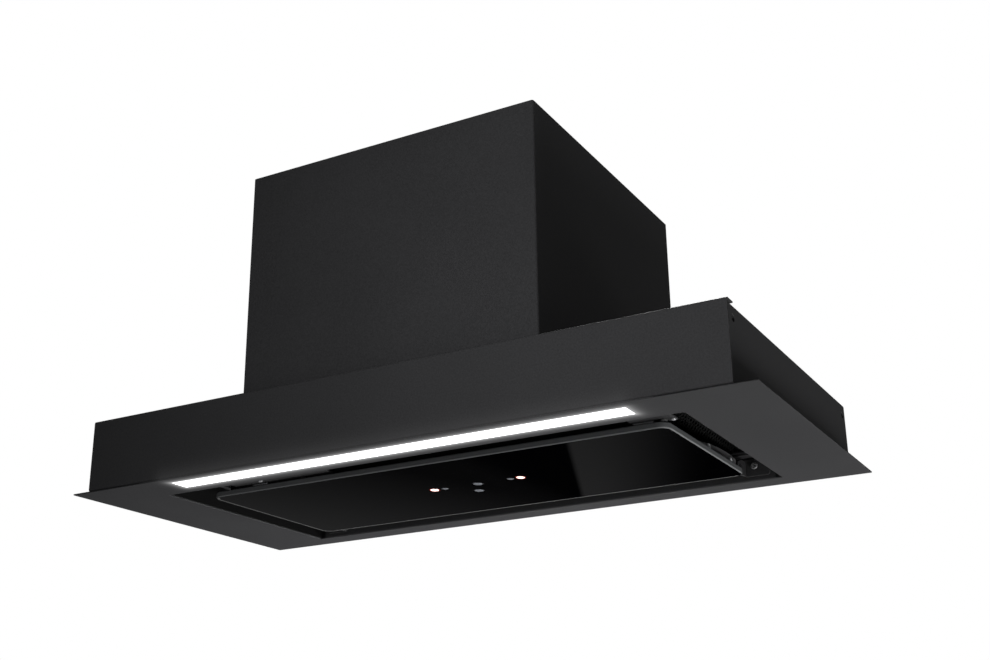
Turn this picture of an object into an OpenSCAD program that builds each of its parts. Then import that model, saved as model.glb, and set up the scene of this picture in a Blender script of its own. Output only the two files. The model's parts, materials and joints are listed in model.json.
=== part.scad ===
// Built-in range hood with a perimeter suction panel, in millimetres.
// The origin is the centre of the underside: +X runs right, +Y to the wall, +Z up.

/* [Canopy] */
// Width of the canopy between the side panels' outer faces
body_w = 564; // [556:1:580]
// Depth of the canopy and of the underside plate
body_d = 281; // [279:1:300]
// How far the underside plate stands out past each side panel
overhang = 17; // [10:1:25]
// Height of the front panel above the underside
front_h = 61.5; // [60:0.5:80]
// How far the front panel rises above the side panels
front_step = 2.5; // [2:0.1:4]
// Thickness of the canopy's sheet steel
sheet = 1.0; // [0.8:0.1:1.2]
// Outer radius of a fold in the canopy's sheet
fold_r = 1.8; // [1.4:0.1:2.4]
// Width of the folded returns
return_w = 12; // [10:0.5:14]
// Gap left between pieces that lie side by side
seam = 0.3; // [0.2:0.05:0.5]

/* [Cabinet fixing] */
// Radius of the fixing holes in the side panels
fixing_r = 2.75; // [2:0.25:3.5]
// Height of the fixing holes above the underside
fixing_z = 49; // [40:1:50]
// Distance of the front fixing holes from the front face
fixing_y = 10; // [8:0.5:10]
// Distance between the front and rear fixing holes
fixing_pitch = 262; // [255:1:263]

/* [Suction opening] */
// Depth of the underside plate in front of the opening
front_strip = 43; // [40:1:50]
// Width of the underside plate between a side panel's outer face and the opening
side_strip = 51; // [45:1:60]
// Depth of the underside plate behind the opening
rear_strip = 23; // [22:1:30]
// Gap between the glass and the left and right edges of the opening
gap_side = 23; // [20:1:30]
// Gap between the glass and the front edge of the opening
gap_front = 26; // [20:1:30]
// Gap between the glass and the rear edge of the opening
gap_rear = 23; // [22:1:30]
// Height of the upturned rim round the opening
rim_h = 20; // [19:0.5:22]

/* [Glass panel] */
// Thickness of the glass
glass_t = 5; // [4:0.5:5]
// Radius of the glass corners
glass_r = 9; // [6:0.5:12]
// Distance of the steel tray from the glass edge
tray_inset = 10.5; // [10.5:0.5:14]
// Height of the tray's upturned edges
tray_h = 9; // [8.5:0.5:9.5]
// Thickness of the tray
tray_t = 1.0; // [0.8:0.1:1.2]

/* [Sensor windows] */
// Radius of the two lit windows
lit_r = 4; // [3:0.25:4.5]
// Radius of the four dim windows
dim_r = 3; // [2:0.25:3.5]
// Clearance round each window in the glass
window_clear = 0.1; // [0.05:0.05:0.3]

/* [Panel hinge] */
// Distance of the hinge axis behind the glass
pivot_back = 8; // [7:0.5:9]
// Height of the hinge axis above the underside
pivot_z = 9; // [8.8:0.1:9.5]
// Radius of the hinge pins
pin_r = 2; // [1.5:0.1:2.4]
// Radial clearance of a pin or shaft that turns
run_clear = 0.05; // [0.02:0.01:0.1]
// Thickness of the hinge steel
hinge_t = 1.5; // [1.2:0.1:1.6]

/* [Light strip] */
// Length of the lit window
lamp_l = 402; // [380:2:440]
// Width of the lit window
lamp_w = 18; // [14:0.5:20]
// Distance of the lit window from the front face
lamp_y = 10.5; // [10:0.5:11]
// Number of light-emitting chips
chip_n = 30; // [12:1:40]

/* [Motor housing] */
// Width of the motor housing
housing_w = 270; // [262:1:320]
// How far the motor housing stands back from the front face
housing_front = 14; // [13:0.5:15]
// Height of the motor housing above the canopy
housing_h = 200; // [199:1:260]
// Thickness of the housing's sheet steel
shell_t = 0.8; // [0.7:0.1:1]

/* [Duct outlet] */
// Outer diameter of the collar that the duct slides over
collar_d = 149.5; // [148:0.5:152]
// Height of the collar above the housing's top plate
collar_h = 32; // [28:1:60]
// Wall of the collar
collar_t = 2; // [1.6:0.1:2.4]
// Thickness of the damper flaps
flap_t = 1.2; // [1:0.1:1.6]
// Radius of the damper pin
damper_pin_r = 1.5; // [1.2:0.1:1.7]

/* [Grease filters] */
// Thickness of the grease filters
filter_h = 8.7; // [8:0.1:10]
// Width of the filters' rails
rail_w = 10; // [8:0.5:12]
// Distance from one pleat of the mesh to the next
pleat = 7; // [5:0.5:10]
// How far each latch slides back
latch_travel = 6; // [5:0.5:7]

/* [Blower] */
// Outer radius of the impeller
impeller_r = 72; // [66:1:73]
// Width of the impeller
impeller_w = 100; // [80:2:104]
// Number of blades
blade_n = 32; // [24:1:40]
// Radial length of the blades
blade_l = 13; // [10:0.5:13]
// Gap between the impeller and the scroll at its tongue
tongue_gap = 10; // [9:0.5:11]
// How much the scroll's radius grows round its turn
scroll_growth = 28; // [24:1:29]
// Wall of the scroll
scroll_wall = 2; // [1.6:0.1:2.2]
// Radius of the motor
motor_r = 46; // [40:1:48]
// Length of the motor
motor_l = 64; // [56:1:66]
// Radius of the motor shaft
shaft_r = 4; // [3:0.5:5]

/* [Electronics] */
// Length of the control box along the depth of the hood
control_d = 110; // [90:1:120]
// Gap between the control box and the foot of the motor housing
control_gap = 12; // [8:1:16]
// Height of the control box
control_h = 32; // [28:1:40]
// Radius of the mains cable that the gland takes
cable_r = 3.6; // [3:0.1:4.5]

/* [Hidden] */
$fn = 48;

// Colours
black_paint = [0.13, 0.13, 0.135];
black_plastic = [0.09, 0.09, 0.095];
grey_plastic = [0.42, 0.43, 0.44];
zinc = [0.62, 0.64, 0.66];
bright_steel = [0.75, 0.76, 0.78];
dark_glass = [0.02, 0.02, 0.025];
board_green = [0.08, 0.32, 0.18];
lamp_white = [0.95, 0.96, 0.98];

// Levels and edges of the canopy
plate_w = body_w + 2 * overhang;
front_y = -body_d / 2;
rear_y = body_d / 2;
side_x = body_w / 2;
canopy_h = front_h - front_step;
deck_z = canopy_h - sheet;
fold_clear = fold_r - sheet + 0.2;
deck_x = side_x - sheet - fold_clear;
return_gap_x = side_x - return_w - seam;

// Suction opening, and the glass that it leaves room for
glass_w = body_w - 2 * (side_strip + gap_side);
glass_d = body_d - front_strip - gap_front - gap_rear - rear_strip;
open_x = glass_w / 2 + gap_side;
open_y0 = front_y + front_strip;
glass_y0 = open_y0 + gap_front;
glass_y1 = glass_y0 + glass_d;
open_y1 = glass_y1 + gap_rear;
open_y = (open_y0 + open_y1) / 2;
glass_y = (glass_y0 + glass_y1) / 2;
bend_r = 1.5 * sheet;

// Panel
tray_x = glass_w / 2 - tray_inset + tray_t / 2;
tray_y0 = glass_y0 + tray_inset + tray_t;
tray_y1 = glass_y1 - tray_inset;
tray_z = glass_t + tray_t;
tray_top = glass_t + tray_h;
pivot_y = glass_y1 + pivot_back;
board_z = tray_z + 2;
board_t = 1.6;
// Places of the sensor windows, seen from above: distance from the middle and from the front face
lit_places = [[-33, 145.5], [48.7, 145.5]];
dim_places = [[-23, 146], [8.5, 146], [-2, 166.5], [39.5, 145]];
guide_recess = 0.1;
board_x0 = lit_places[0][0] - 17;
board_x1 = lit_places[1][0] + 17.3;
board_y0 = front_y + lit_places[0][1] - 13.5;
board_y1 = front_y + dim_places[2][1] + 11.5;
socket_y = board_y0 + 28.5;

// Hinge
arm_x = tray_x + hinge_t;
ear_x = arm_x + 0.5;
knuckle_r = pivot_z - 3;
screw_r = 2;
head_r = 3;
head_h = 1.6;
bracket_w = 22;
lip_screw_x = open_x - 22;
lip_screw_z = 12.6;
arm_screws = [glass_y1 - 60, glass_y1 - 11];

// Catches at the front of the opening: left and right ends of each bracket and its magnet
catch_t = 1.5;
magnet_w = 16;
magnet_d = 9;
magnet_t = glass_t - 3.3;
catch_z = glass_t + magnet_t + 0.3;
catch_left = [47 - open_x, 144 - open_x];
catch_left_holes = [90 - open_x, 135 - open_x];
catch_right = [open_x - 52, open_x - 18];
magnet_left = 73 - open_x;
magnet_right = open_x - 42;
catch_back = glass_y0 + magnet_d;
bumper_r = 3;
bumper_places = [116 - open_x, open_x - 27];

// Light strip
lamp_y0 = front_y + lamp_y;
lamp_y1 = lamp_y0 + lamp_w;
lamp_x = lamp_l / 2;
lamp_fit = 0.3;
lamp_lip = 1.5;
lamp_wall = 1.2;
lamp_top = 12;
chip_l = 5.6;

// Motor housing
housing_x = housing_w / 2;
housing_y0 = front_y + housing_front;
housing_d = rear_y - housing_y0;
housing_z1 = canopy_h + housing_h;
top_z = housing_z1 - 0.6;
top_under = top_z - shell_t;
back_y = rear_y - 2;
housing_return = 10;
deck_hole_x = 112;
deck_hole_y0 = housing_y0 + 24;
deck_hole_y1 = back_y - 24;

// Blower
scroll_hw = impeller_w / 2 + 3 + scroll_wall;
tongue_a = 65;
tongue_r = impeller_r + tongue_gap;
tongue_u = tongue_r * cos(tongue_a);
mouth_r = tongue_r + scroll_growth;
scroll_n = 24;
rim_w = 3;
blower_y = housing_y0 + shell_t + 1.8 + scroll_r(180) + scroll_wall + rim_w;
blower_z = deck_z + 1.5 + scroll_r(270) + scroll_wall + rim_w;
neck_top = top_under - blower_z;
neck_u = (tongue_u + mouth_r) / 2;
flange_t = 2;
inlet_r = impeller_r - blade_l + 3;
inlet_roll = 4;
hub_r = 9;
disc_x = 10;
hub_end = 24;
hub_cap = 2;
bearing_r = 8;
bearing_l = 8;
bracket_t = 2.5;
bush_r = 6;
bush_at = (inlet_r + 2 * inlet_roll + bush_r + 1);
motor_x0 = -motor_l;
motor_cap = 2;
bearing_x = [motor_x0 + motor_cap, -bearing_l];

// Collar, centred over the scroll's mouth
collar_y = blower_y + neck_u;
collar_r = collar_d / 2;
collar_in = collar_r - collar_t;
collar_flange = collar_r + 13.25;
collar_flange_t = 2;
seat_z = top_z + collar_flange_t;
seat_t = 1.6;
seat_w = 3.7;
flap_z = seat_z + seat_t + 0.3;
damper_z = flap_z + flap_t / 2 + 2.6;
flap_r = collar_in - 0.85;
flap_knuckle_r = damper_z - flap_z - 0.2;
knuckle_places = [12, 40];
knuckle_l = 16;
boss_r = 4;
boss_l = 6;
collar_screws = collar_r + 6.25;
collar_screw_at = collar_screws * cos(45);
flange_half = [collar_screw_at + 8.7, collar_screw_at + 6.7];

// Grease filters
frame_x = open_x + 6;
frame_y0 = open_y0 - 6;
frame_y1 = open_y1 + 5;
frame_t = 1.0;
frame_z = rim_h;
window_w = open_x - 8;
window_x0 = 3;
window_x1 = window_x0 + window_w;
window_y0 = open_y0 + 5.5;
window_y1 = open_y1 - 5.5;
filter_gap = 0.5;
filter_z = frame_z + frame_t + 0.3;
filter_top = filter_z + filter_h;
filter_x0 = window_x0 + filter_gap;
filter_x1 = window_x1 - filter_gap;
filter_y0 = window_y0 + filter_gap;
filter_y1 = window_y1 - filter_gap;
filter_mid = (filter_x0 + filter_x1) / 2;
ledge_w = 5;
rail_t = 1.2;
latch_w = 16;
latch_h = 4.8;
latch_block = [14, 28];
latch_fit = 0.3;
tongue_l = latch_travel - 1.7;
latch_back = filter_y0 + rail_w + 8;
spring_l = latch_travel + 4;
spring_r = 2;

// Electronics on the canopy's deck
control_x0 = -side_x + return_w + 1;
control_x1 = -housing_x - housing_return - control_gap;
control_w = control_x1 - control_x0;
capacitor_l = 58;
capacitor_r = 16;
control_y0 = -5;
control_y1 = control_y0 + control_d;
control_wall = 2;
cable_x = control_x1 - 17;
motor_plug_x = control_x1 - 23;
driver_x0 = -side_x + return_w + 6;
driver_size = [80, 42, 22];
driver_y0 = front_y + 70;
driver_lead_x = driver_x0 + 34;
driver_lead_z = 69;

// Routes of the leads: points chosen by hand
deck_cable_holes = [[-150, 123.5], [-236, -108]];
sensor_route = [
    [board_x0 - seam, socket_y, board_z + board_t + 1.8], [board_x0 - 7, socket_y, 11.4],
    [-70, 29, 11], [-90, 46, 10], [-110, 66, 10.5],
    [-116, 75, 14], [-118, 83.5, 17], [-119, 93, 17], [-120, 104, 15.5], [-120, 114, 14.5],
    [-121, 121, 15.5], [-124, 126, 21], [-132, 126, 30], [-146, 125, 44],
    [-150, 123.5, 58], [-154, 121, 69], [-164, 115, 74],
    [cable_x + 2, control_y1 + 1, 73], [cable_x, control_y1 - 9, 71], [cable_x, control_y1 - 18, 70],
];
motor_route = [
    [motor_plug_x, 70, 76], [motor_plug_x + 12, 70, 76], [control_x1 + 1, 70, 76],
    [-143, 70, 76], [-130, 70, 76],
    [-116, 66, 82], [-108, 50, 104],
    [-100, 24, 132], [-92, 0, 152], [-84, -16, 160], [-74, -22, 163], [-66, -22, 163],
];
lamp_route = [
    [-204, -121, 8], [-212, -121, 8], [-224, -118, 12], [-234, -112, 24], [-236, -108, 40],
    [-236, -108, 58], [-235, -104, 65], [-231, -94, 67],
    [driver_lead_x, driver_y0 - 11.5, 67], [driver_lead_x, driver_y0, 67],
];
driver_route = [
    for (t = [0 : 0.25 : 1])
        [driver_lead_x, (1 - t) * (driver_y0 + driver_size[1]) + t * (control_y0 + 9), driver_lead_z]
];

// General shapes

// Block from a low corner to a high corner
module block(x0, x1, y0, y1, z0, z1) {
    translate([x0, y0, z0]) cube([x1 - x0, y1 - y0, z1 - z0]);
}

// Upright wall round a rectangle, measured at its inside
module wall_ring(x0, x1, y0, y1, t, z0, z1) {
    difference() {
        block(x0 - t, x1 + t, y0 - t, y1 + t, z0, z1);
        block(x0, x1, y0, y1, z0 - 1, z1 + 1);
    }
}

// Flat rectangle with round corners, centred
module rounded_rect(w, d, r) {
    square([w - 2 * r, d], center = true);
    square([w, d - 2 * r], center = true);
    for (sx = [-1, 1], sy = [-1, 1]) {
        translate([sx * (w / 2 - r), sy * (d / 2 - r)]) circle(r);
    }
}

// Folded sheet in section: a web of height h on the Y axis with two flanges of width w along X
module c_section(w, h, t, r) {
    difference() {
        intersection() {
            translate([w, h / 2]) rounded_rect(2 * w, h, r);
            square([w, h]);
        }
        translate([w + t, h / 2]) rounded_rect(2 * w, h - 2 * t, max(r - t, 0.2));
    }
}

// Prism that takes the sharp edge off a fold: it runs along X, with the fold's corner at the origin
module fold_cutter(l, r) {
    rotate([90, 0, 90]) translate([0, 0, -l / 2]) linear_extrude(l) difference() {
        translate([-r, -1]) square([r + 1, r + 1]);
        translate([-r, r]) circle(r);
    }
}

// Cylinder from a start point along an axis named by a letter
module rod_x(x0, x1, y, z, r) {
    translate([x0, y, z]) rotate([0, 90, 0]) cylinder(h = x1 - x0, r = r);
}

module rod_y(y0, y1, x, z, r) {
    translate([x, y0, z]) rotate([-90, 0, 0]) cylinder(h = y1 - y0, r = r);
}

// Screw with a pan head at the origin and its shank along -Z
module pan_screw(shank) {
    translate([0, 0, -shank]) cylinder(h = shank, r = screw_r);
    difference() {
        cylinder(h = head_h, r1 = head_r, r2 = head_r - 0.6);
        for (a = [0, 90]) {
            rotate([0, 0, a]) translate([-1.6, -0.3, head_h - 0.7]) cube([3.2, 0.6, 1]);
        }
    }
}

// Point at parameter t on the smooth curve between b and c
function curve_point(a, b, c, d, t) =
    0.5 * (2 * b + (c - a) * t + (2 * a - 5 * b + 4 * c - d) * t * t
        + (3 * b - a - 3 * c + d) * t * t * t);

// Smooth route through the points, with k steps between two of them
function smooth(p, k) = [
    for (i = [0 : len(p) - 2], j = [0 : k - 1])
        curve_point(p[max(i - 1, 0)], p[i], p[i + 1], p[min(i + 2, len(p) - 1)], j / k),
    p[len(p) - 1],
];

function unit(v) = v / norm(v);

// Tube swept along a route
module lead(route, r, k = 2, sides = 8) {
    p = smooth(route, k);
    n = len(p);
    ring = [for (i = [0 : n - 1])
        let (
            d = unit(p[min(i + 1, n - 1)] - p[max(i - 1, 0)]),
            u = unit(cross(d, [0.9, 0.2, 0.4])),
            v = cross(d, u)
        )
        for (s = [0 : sides - 1]) p[i] + r * (cos(360 * s / sides) * u + sin(360 * s / sides) * v)];
    walls = [for (i = [0 : n - 2], s = [0 : sides - 1])
        let (a = i * sides + s, b = i * sides + (s + 1) % sides)
        each [[a, b, a + sides], [b, b + sides, a + sides]]];
    first = [for (s = [1 : sides - 2]) [0, s + 1, s]];
    last = [for (s = [1 : sides - 2]) [0, s, s + 1] + (n - 1) * sides * [1, 1, 1]];
    polyhedron(ring, concat(walls, first, last));
}

// Canopy

module fixing_holes(side) {
    for (y = [0, fixing_pitch]) {
        rod_x(side * side_x - 5, side * side_x + 5, front_y + fixing_y + y, fixing_z, fixing_r);
    }
}

module bottom_plate() {
    color(black_paint) difference() {
        union() {
            block(-plate_w / 2, plate_w / 2, front_y, rear_y, 0, sheet);
            wall_ring(-open_x, open_x, open_y0, open_y1, sheet, 0, rim_h);
        }
        block(-open_x, open_x, open_y0, open_y1, -1, sheet + 1);
        block(-lamp_x - lamp_fit, lamp_x + lamp_fit, lamp_y0 - lamp_fit, lamp_y1 + lamp_fit, -1, sheet + 1);
        translate([0, open_y0, 0]) fold_cutter(2 * open_x, bend_r);
        translate([0, open_y1, 0]) rotate([0, 0, 180]) fold_cutter(2 * open_x, bend_r);
        for (side = [-1, 1]) {
            translate([side * open_x, open_y, 0]) rotate([0, 0, side * 90])
                fold_cutter(open_y1 - open_y0, bend_r);
            rod_y(open_y1 - 1, open_y1 + 2, side * lip_screw_x, lip_screw_z, screw_r);
        }
        // Hole in the rear rim for the sensor cable
        block(-127, -113, open_y1 - 1, open_y1 + sheet + 1, 10, 18);
    }
}

module front_panel() {
    lower_return = lamp_y - lamp_lip - lamp_wall - lamp_fit - seam;
    color(black_paint) difference() {
        union() {
            translate([-side_x, front_y, sheet]) rotate([90, 0, 90])
                linear_extrude(body_w) c_section(return_w, front_h - sheet, sheet, fold_r);
            for (side = [-1, 1]) {
                x = side * (side_x - 1.5 * sheet - 0.05);
                block(x - sheet / 2, x + sheet / 2, front_y + sheet / 2, front_y + return_w + 2,
                    2 * sheet + seam, deck_z - sheet);
            }
        }
        block(-side_x - 1, side_x + 1, front_y + lower_return, front_y + return_w + 1, 0, 2 * sheet);
        for (side = [-1, 1]) {
            x = side * (side_x + return_gap_x) / 2;
            block(x - return_w / 2 - seam / 2, x + return_w / 2 + seam / 2,
                front_y + sheet, front_y + return_w + 1, 0, 2 * sheet);
            fixing_holes(side);
        }
    }
}

module side_panel() {
    length = body_d - 2 * sheet - 2 * seam;
    color(black_paint) difference() {
        translate([-side_x, rear_y - sheet - seam, sheet]) rotate([90, 0, 0])
            linear_extrude(length) c_section(return_w, canopy_h - sheet, sheet, fold_r);
        fixing_holes(-1);
        for (y = deck_screws()) {
            translate([-side_x + return_w / 2, y, 0]) cylinder(h = 100, r = screw_r);
        }
    }
}

module side_panel_left() {
    side_panel();
}

module side_panel_right() {
    mirror([1, 0, 0]) side_panel();
}

function deck_screws() = [front_y + 45, open_y, rear_y - 40];

module rear_panel() {
    color(black_paint) difference() {
        translate([side_x - sheet - seam, rear_y, sheet]) rotate([90, 0, -90])
            linear_extrude(2 * (side_x - sheet - seam))
            c_section(return_w, canopy_h - sheet, sheet, fold_r);
        for (side = [-1, 1]) {
            block(side * side_x - return_w - seam, side * side_x + return_w + seam,
                rear_y - return_w - 1, rear_y - sheet, 0, 3 * sheet);
            block(side * side_x - return_w - seam, side * side_x + return_w + seam,
                rear_y - return_w - 1, rear_y - sheet, canopy_h - 2 * sheet, canopy_h + 1);
        }
        // Notch for the motor housing, which stands flush with the rear
        block(-housing_x - seam, housing_x + seam, rear_y - return_w - 1, rear_y + 1,
            canopy_h - sheet - 0.01, canopy_h + 1);
    }
}

module top_deck() {
    color(black_paint) difference() {
        union() {
            block(-deck_x, deck_x, front_y + sheet + seam, rear_y - sheet - fold_clear,
                deck_z - sheet, deck_z);
            block(-return_gap_x, return_gap_x, front_y + sheet + seam, front_y + 2 * sheet + seam,
                deck_z - sheet, front_h - sheet - fold_clear);
        }
        block(-deck_hole_x, deck_hole_x, deck_hole_y0, deck_hole_y1, deck_z - 5, deck_z + 5);
        for (p = deck_cable_holes) {
            translate([p[0], p[1], 0]) cylinder(h = 100, r = 4);
        }
        for (side = [-1, 1], y = deck_screws()) {
            translate([side * (side_x - return_w / 2), y, 0]) cylinder(h = 100, r = screw_r);
        }
        for (p = housing_foot_screws()) {
            translate([p[0], p[1], 0]) cylinder(h = 100, r = screw_r);
        }
    }
}

// Motor housing

function housing_foot_screws() = concat(
    [for (x = [-100, 0, 100]) [x, housing_y0 - housing_return / 2]],
    [for (side = [-1, 1], y = [housing_y0 + 30, back_y - 40]) [side * (housing_x + housing_return / 2), y]]
);

function housing_back_screws() = [
    for (side = [-1, 1], z = [canopy_h + 30, canopy_h + housing_h / 2, housing_z1 - 30])
        [side * (housing_x - 6), z]
];

function housing_top_screws() = concat(
    [for (x = [-95, 95]) [x, housing_y0 + 6]],
    [for (side = [-1, 1], y = [housing_y0 + 60, back_y - 30]) [side * (housing_x - 6), y]]
);

module housing_section() {
    translate([housing_x, housing_y0]) rotate([0, 0, 90])
        c_section(housing_d, housing_w, shell_t, fold_r);
}

module housing_shell() {
    inner_x = housing_x - shell_t;
    color(black_paint) difference() {
        union() {
            translate([0, 0, deck_z]) linear_extrude(housing_z1 - deck_z) housing_section();
            // Feet that lie on the deck
            block(-housing_x + fold_r, housing_x - fold_r,
                housing_y0 - housing_return, housing_y0 + shell_t / 2,
                deck_z, deck_z + shell_t);
            for (side = [-1, 1]) {
                mirror([side > 0 ? 0 : 1, 0, 0]) {
                    block(housing_x - shell_t / 2, housing_x + housing_return,
                        housing_y0 + 6, rear_y - return_w - 2, deck_z, deck_z + shell_t);
                    // Return behind, which carries the back plate
                    block(inner_x - housing_return, inner_x + shell_t / 2,
                        back_y - 2 * shell_t, back_y - shell_t, canopy_h + 5, top_under - 1);
                    // Return on top, which carries the top plate
                    block(inner_x - housing_return, inner_x + shell_t / 2, housing_y0 + 14, back_y - 14,
                        top_under - shell_t, top_under);
                }
            }
            block(-inner_x + 12, inner_x - 12,
                housing_y0 + shell_t / 2, housing_y0 + shell_t + housing_return,
                top_under - shell_t, top_under);
        }
        // Hole for the motor lead
        rod_x(-housing_x - 5, -housing_x + 5, 70, 76, 4);
        for (p = housing_foot_screws()) {
            translate([p[0], p[1], deck_z - 5]) cylinder(h = 10, r = screw_r);
        }
        for (p = housing_back_screws()) {
            rod_y(back_y - 6, back_y + 6, p[0], p[1], screw_r);
        }
        for (p = housing_top_screws()) {
            translate([p[0], p[1], top_under - 5]) cylinder(h = 10, r = screw_r);
        }
    }
}

module housing_back() {
    x = housing_x - shell_t - seam;
    color(black_paint) difference() {
        block(-x, x, back_y - shell_t, back_y, canopy_h + seam, top_under - seam);
        for (p = housing_back_screws()) {
            rod_y(back_y - 6, back_y + 6, p[0], p[1], screw_r);
        }
    }
}

module housing_top() {
    x = housing_x - shell_t - seam;
    color(black_paint) difference() {
        block(-x, x, housing_y0 + shell_t + seam, rear_y - seam, top_under, top_z);
        translate([0, collar_y, top_under - 1]) cylinder(h = 5, r = collar_in, $fn = 96);
        for (p = housing_top_screws()) {
            translate([p[0], p[1], top_under - 5]) cylinder(h = 10, r = screw_r);
        }
        collar_holes();
    }
}

module collar_holes() {
    for (a = [45 : 90 : 315]) {
        translate([0, collar_y, top_z - 8]) rotate([0, 0, a]) translate([collar_screws, 0, 0])
            cylinder(h = 16, r = screw_r);
    }
}

// Duct outlet with its two damper flaps

module outlet_collar() {
    color(black_plastic) difference() {
        translate([0, collar_y, 0]) {
            difference() {
                union() {
                    translate([0, 0, top_z]) cylinder(h = collar_flange_t, r = collar_flange, $fn = 96);
                    translate([0, 0, top_z]) cylinder(h = collar_h, r = collar_r, $fn = 96);
                }
                translate([0, 0, top_z - 1]) cylinder(h = collar_h + 2, r = collar_in, $fn = 96);
            }
            // Seat that the flaps rest on
            translate([0, 0, seat_z]) difference() {
                cylinder(h = seat_t, r = collar_in + 0.5, $fn = 96);
                translate([0, 0, -1]) cylinder(h = seat_t + 2, r = collar_in - seat_w, $fn = 96);
            }
            for (side = [-1, 1]) {
                rod_y(side > 0 ? collar_in - boss_l : -collar_in - 0.5,
                    side > 0 ? collar_in + 0.5 : -collar_in + boss_l, 0, damper_z, boss_r);
            }
        }
        rod_y(collar_y - collar_in - 0.5, collar_y + collar_in + 0.5, 0, damper_z, damper_pin_r);
        collar_holes();
    }
}

module damper_pin() {
    color(bright_steel)
        rod_y(collar_y - collar_in - 0.5, collar_y + collar_in + 0.5, 0, damper_z, damper_pin_r);
}

// One flap; its knuckles stand in the notches of the other
module damper_flap(own, other) {
    clear = 0.6;
    color(grey_plastic) difference() {
        union() {
            translate([0, collar_y, flap_z]) difference() {
                cylinder(h = flap_t, r = flap_r, $fn = 96);
                translate([-0.4, -flap_r - 1, -1]) cube([2 * flap_r, 2 * flap_r + 2, flap_t + 2]);
                for (y = other) {
                    translate([-flap_knuckle_r - clear, y - knuckle_l / 2 - clear, -1])
                        cube([2 * flap_knuckle_r, knuckle_l + 2 * clear, flap_t + 2]);
                }
                for (side = [-1, 1]) {
                    translate([-boss_r - clear, side * flap_r - boss_l - 2, -1])
                        cube([2 * boss_r, 2 * boss_l + 4, flap_t + 2]);
                }
            }
            for (y = own) {
                rod_y(collar_y + y - knuckle_l / 2, collar_y + y + knuckle_l / 2,
                    0, damper_z, flap_knuckle_r);
            }
        }
        rod_y(collar_y - flap_r, collar_y + flap_r, 0, damper_z, damper_pin_r + run_clear);
    }
}

module damper_flap_left() {
    damper_flap([-knuckle_places[1], knuckle_places[0]], [-knuckle_places[0], knuckle_places[1]]);
}

module damper_flap_right() {
    mirror([1, 0, 0])
        damper_flap([-knuckle_places[0], knuckle_places[1]], [-knuckle_places[1], knuckle_places[0]]);
}

// Blower

function scroll_r(a) = tongue_r + scroll_growth * (a - tongue_a) / (360 - tongue_a);

// Outline of the scroll, seen from the right, with its wall pushed out by off
function scroll_outline(off, top) = concat(
    [[tongue_u - off, sqrt(pow(tongue_r + off, 2) - pow(tongue_u - off, 2))]],
    [for (i = [1 : scroll_n])
        let (a = tongue_a + (360 - tongue_a) * i / scroll_n)
        (scroll_r(a) + off) * [cos(a), sin(a)]],
    [[mouth_r + off, top], [tongue_u - off, top]]
);

// Puts a shape drawn round the blower's axis, with its height along +X, in its place
module at_blower() {
    translate([0, blower_y, blower_z]) rotate([90, 0, 90]) children();
}

module scroll_half() {
    inner = scroll_hw - scroll_wall;
    color(black_plastic) at_blower() {
        difference() {
            union() {
                linear_extrude(scroll_hw) polygon(scroll_outline(scroll_wall, neck_top - flange_t / 2));
                linear_extrude(1.5) polygon(scroll_outline(scroll_wall + rim_w, neck_top - flange_t - 2));
                // Flange under the housing's top plate
                translate([neck_u - flange_half[1], neck_top - flange_t, 0])
                    cube([2 * flange_half[1], flange_t, flange_half[0]]);
                // Rolled edge of the inlet
                translate([0, 0, scroll_hw]) rotate_extrude($fn = 64)
                    translate([inlet_r + inlet_roll, 0]) circle(inlet_roll, $fn = 24);
            }
            translate([0, 0, -1]) linear_extrude(inner + 1) polygon(scroll_outline(0, neck_top + 5));
            cylinder(h = scroll_hw + inlet_roll + 1, r = inlet_r, $fn = 64);
            // The rolled edge is only outside the wall
            translate([0, 0, scroll_hw - scroll_wall - inlet_roll]) difference() {
                cylinder(h = inlet_roll, r = inlet_r + 2 * inlet_roll + 1, $fn = 64);
                translate([0, 0, -1]) cylinder(h = inlet_roll + 2, r = 1);
            }
            for (side = [-1, 1]) {
                translate([neck_u + side * collar_screw_at, neck_top - 8, collar_screw_at])
                    rotate([-90, 0, 0]) cylinder(h = 16, r = screw_r);
            }
        }
    }
}

module scroll_right() {
    scroll_half();
}

module scroll_left() {
    mirror([1, 0, 0]) scroll_half();
}

// One forward-curved blade in section, as a thin bent strip
module blade_section() {
    inner = impeller_r - blade_l;
    steps = 4;
    bend = 9;
    thick = 0.8;
    function rib(t, side) = let (
            r = inner + 0.6 + (blade_l - 1.2) * t,
            a = bend * t * t
        ) [r * cos(a) - side * thick / 2 * sin(a + 20), r * sin(a) + side * thick / 2 * cos(a + 20)];
    near_side = [for (i = [0 : steps]) rib(i / steps, 1)];
    far_side = [for (i = [steps : -1 : 0]) rib(i / steps, -1)];
    polygon(concat(near_side, far_side));
}

module impeller() {
    ring_t = 2;
    color(grey_plastic) at_blower() {
        difference() {
            union() {
                for (z = [-impeller_w / 2, impeller_w / 2 - ring_t]) {
                    translate([0, 0, z]) cylinder(h = ring_t, r = impeller_r, $fn = 96);
                }
                for (i = [0 : blade_n - 1]) {
                    rotate([0, 0, 360 * i / blade_n]) translate([0, 0, -impeller_w / 2 + ring_t / 2])
                        linear_extrude(impeller_w - ring_t) blade_section();
                }
            }
            for (z = [-impeller_w / 2 - 1, impeller_w / 2 - ring_t - 1]) {
                translate([0, 0, z]) cylinder(h = ring_t + 2, r = impeller_r - blade_l, $fn = 96);
            }
        }
        difference() {
            union() {
                translate([0, 0, disc_x]) cylinder(h = 2, r = impeller_r - blade_l + 2, $fn = 96);
                translate([0, 0, disc_x - 3]) cylinder(h = hub_end - disc_x + 2, r = hub_r);
            }
            // The hub's outer end is closed
            translate([0, 0, disc_x - 4]) cylinder(h = hub_end - hub_cap - disc_x + 3, r = shaft_r);
        }
    }
}

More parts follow.
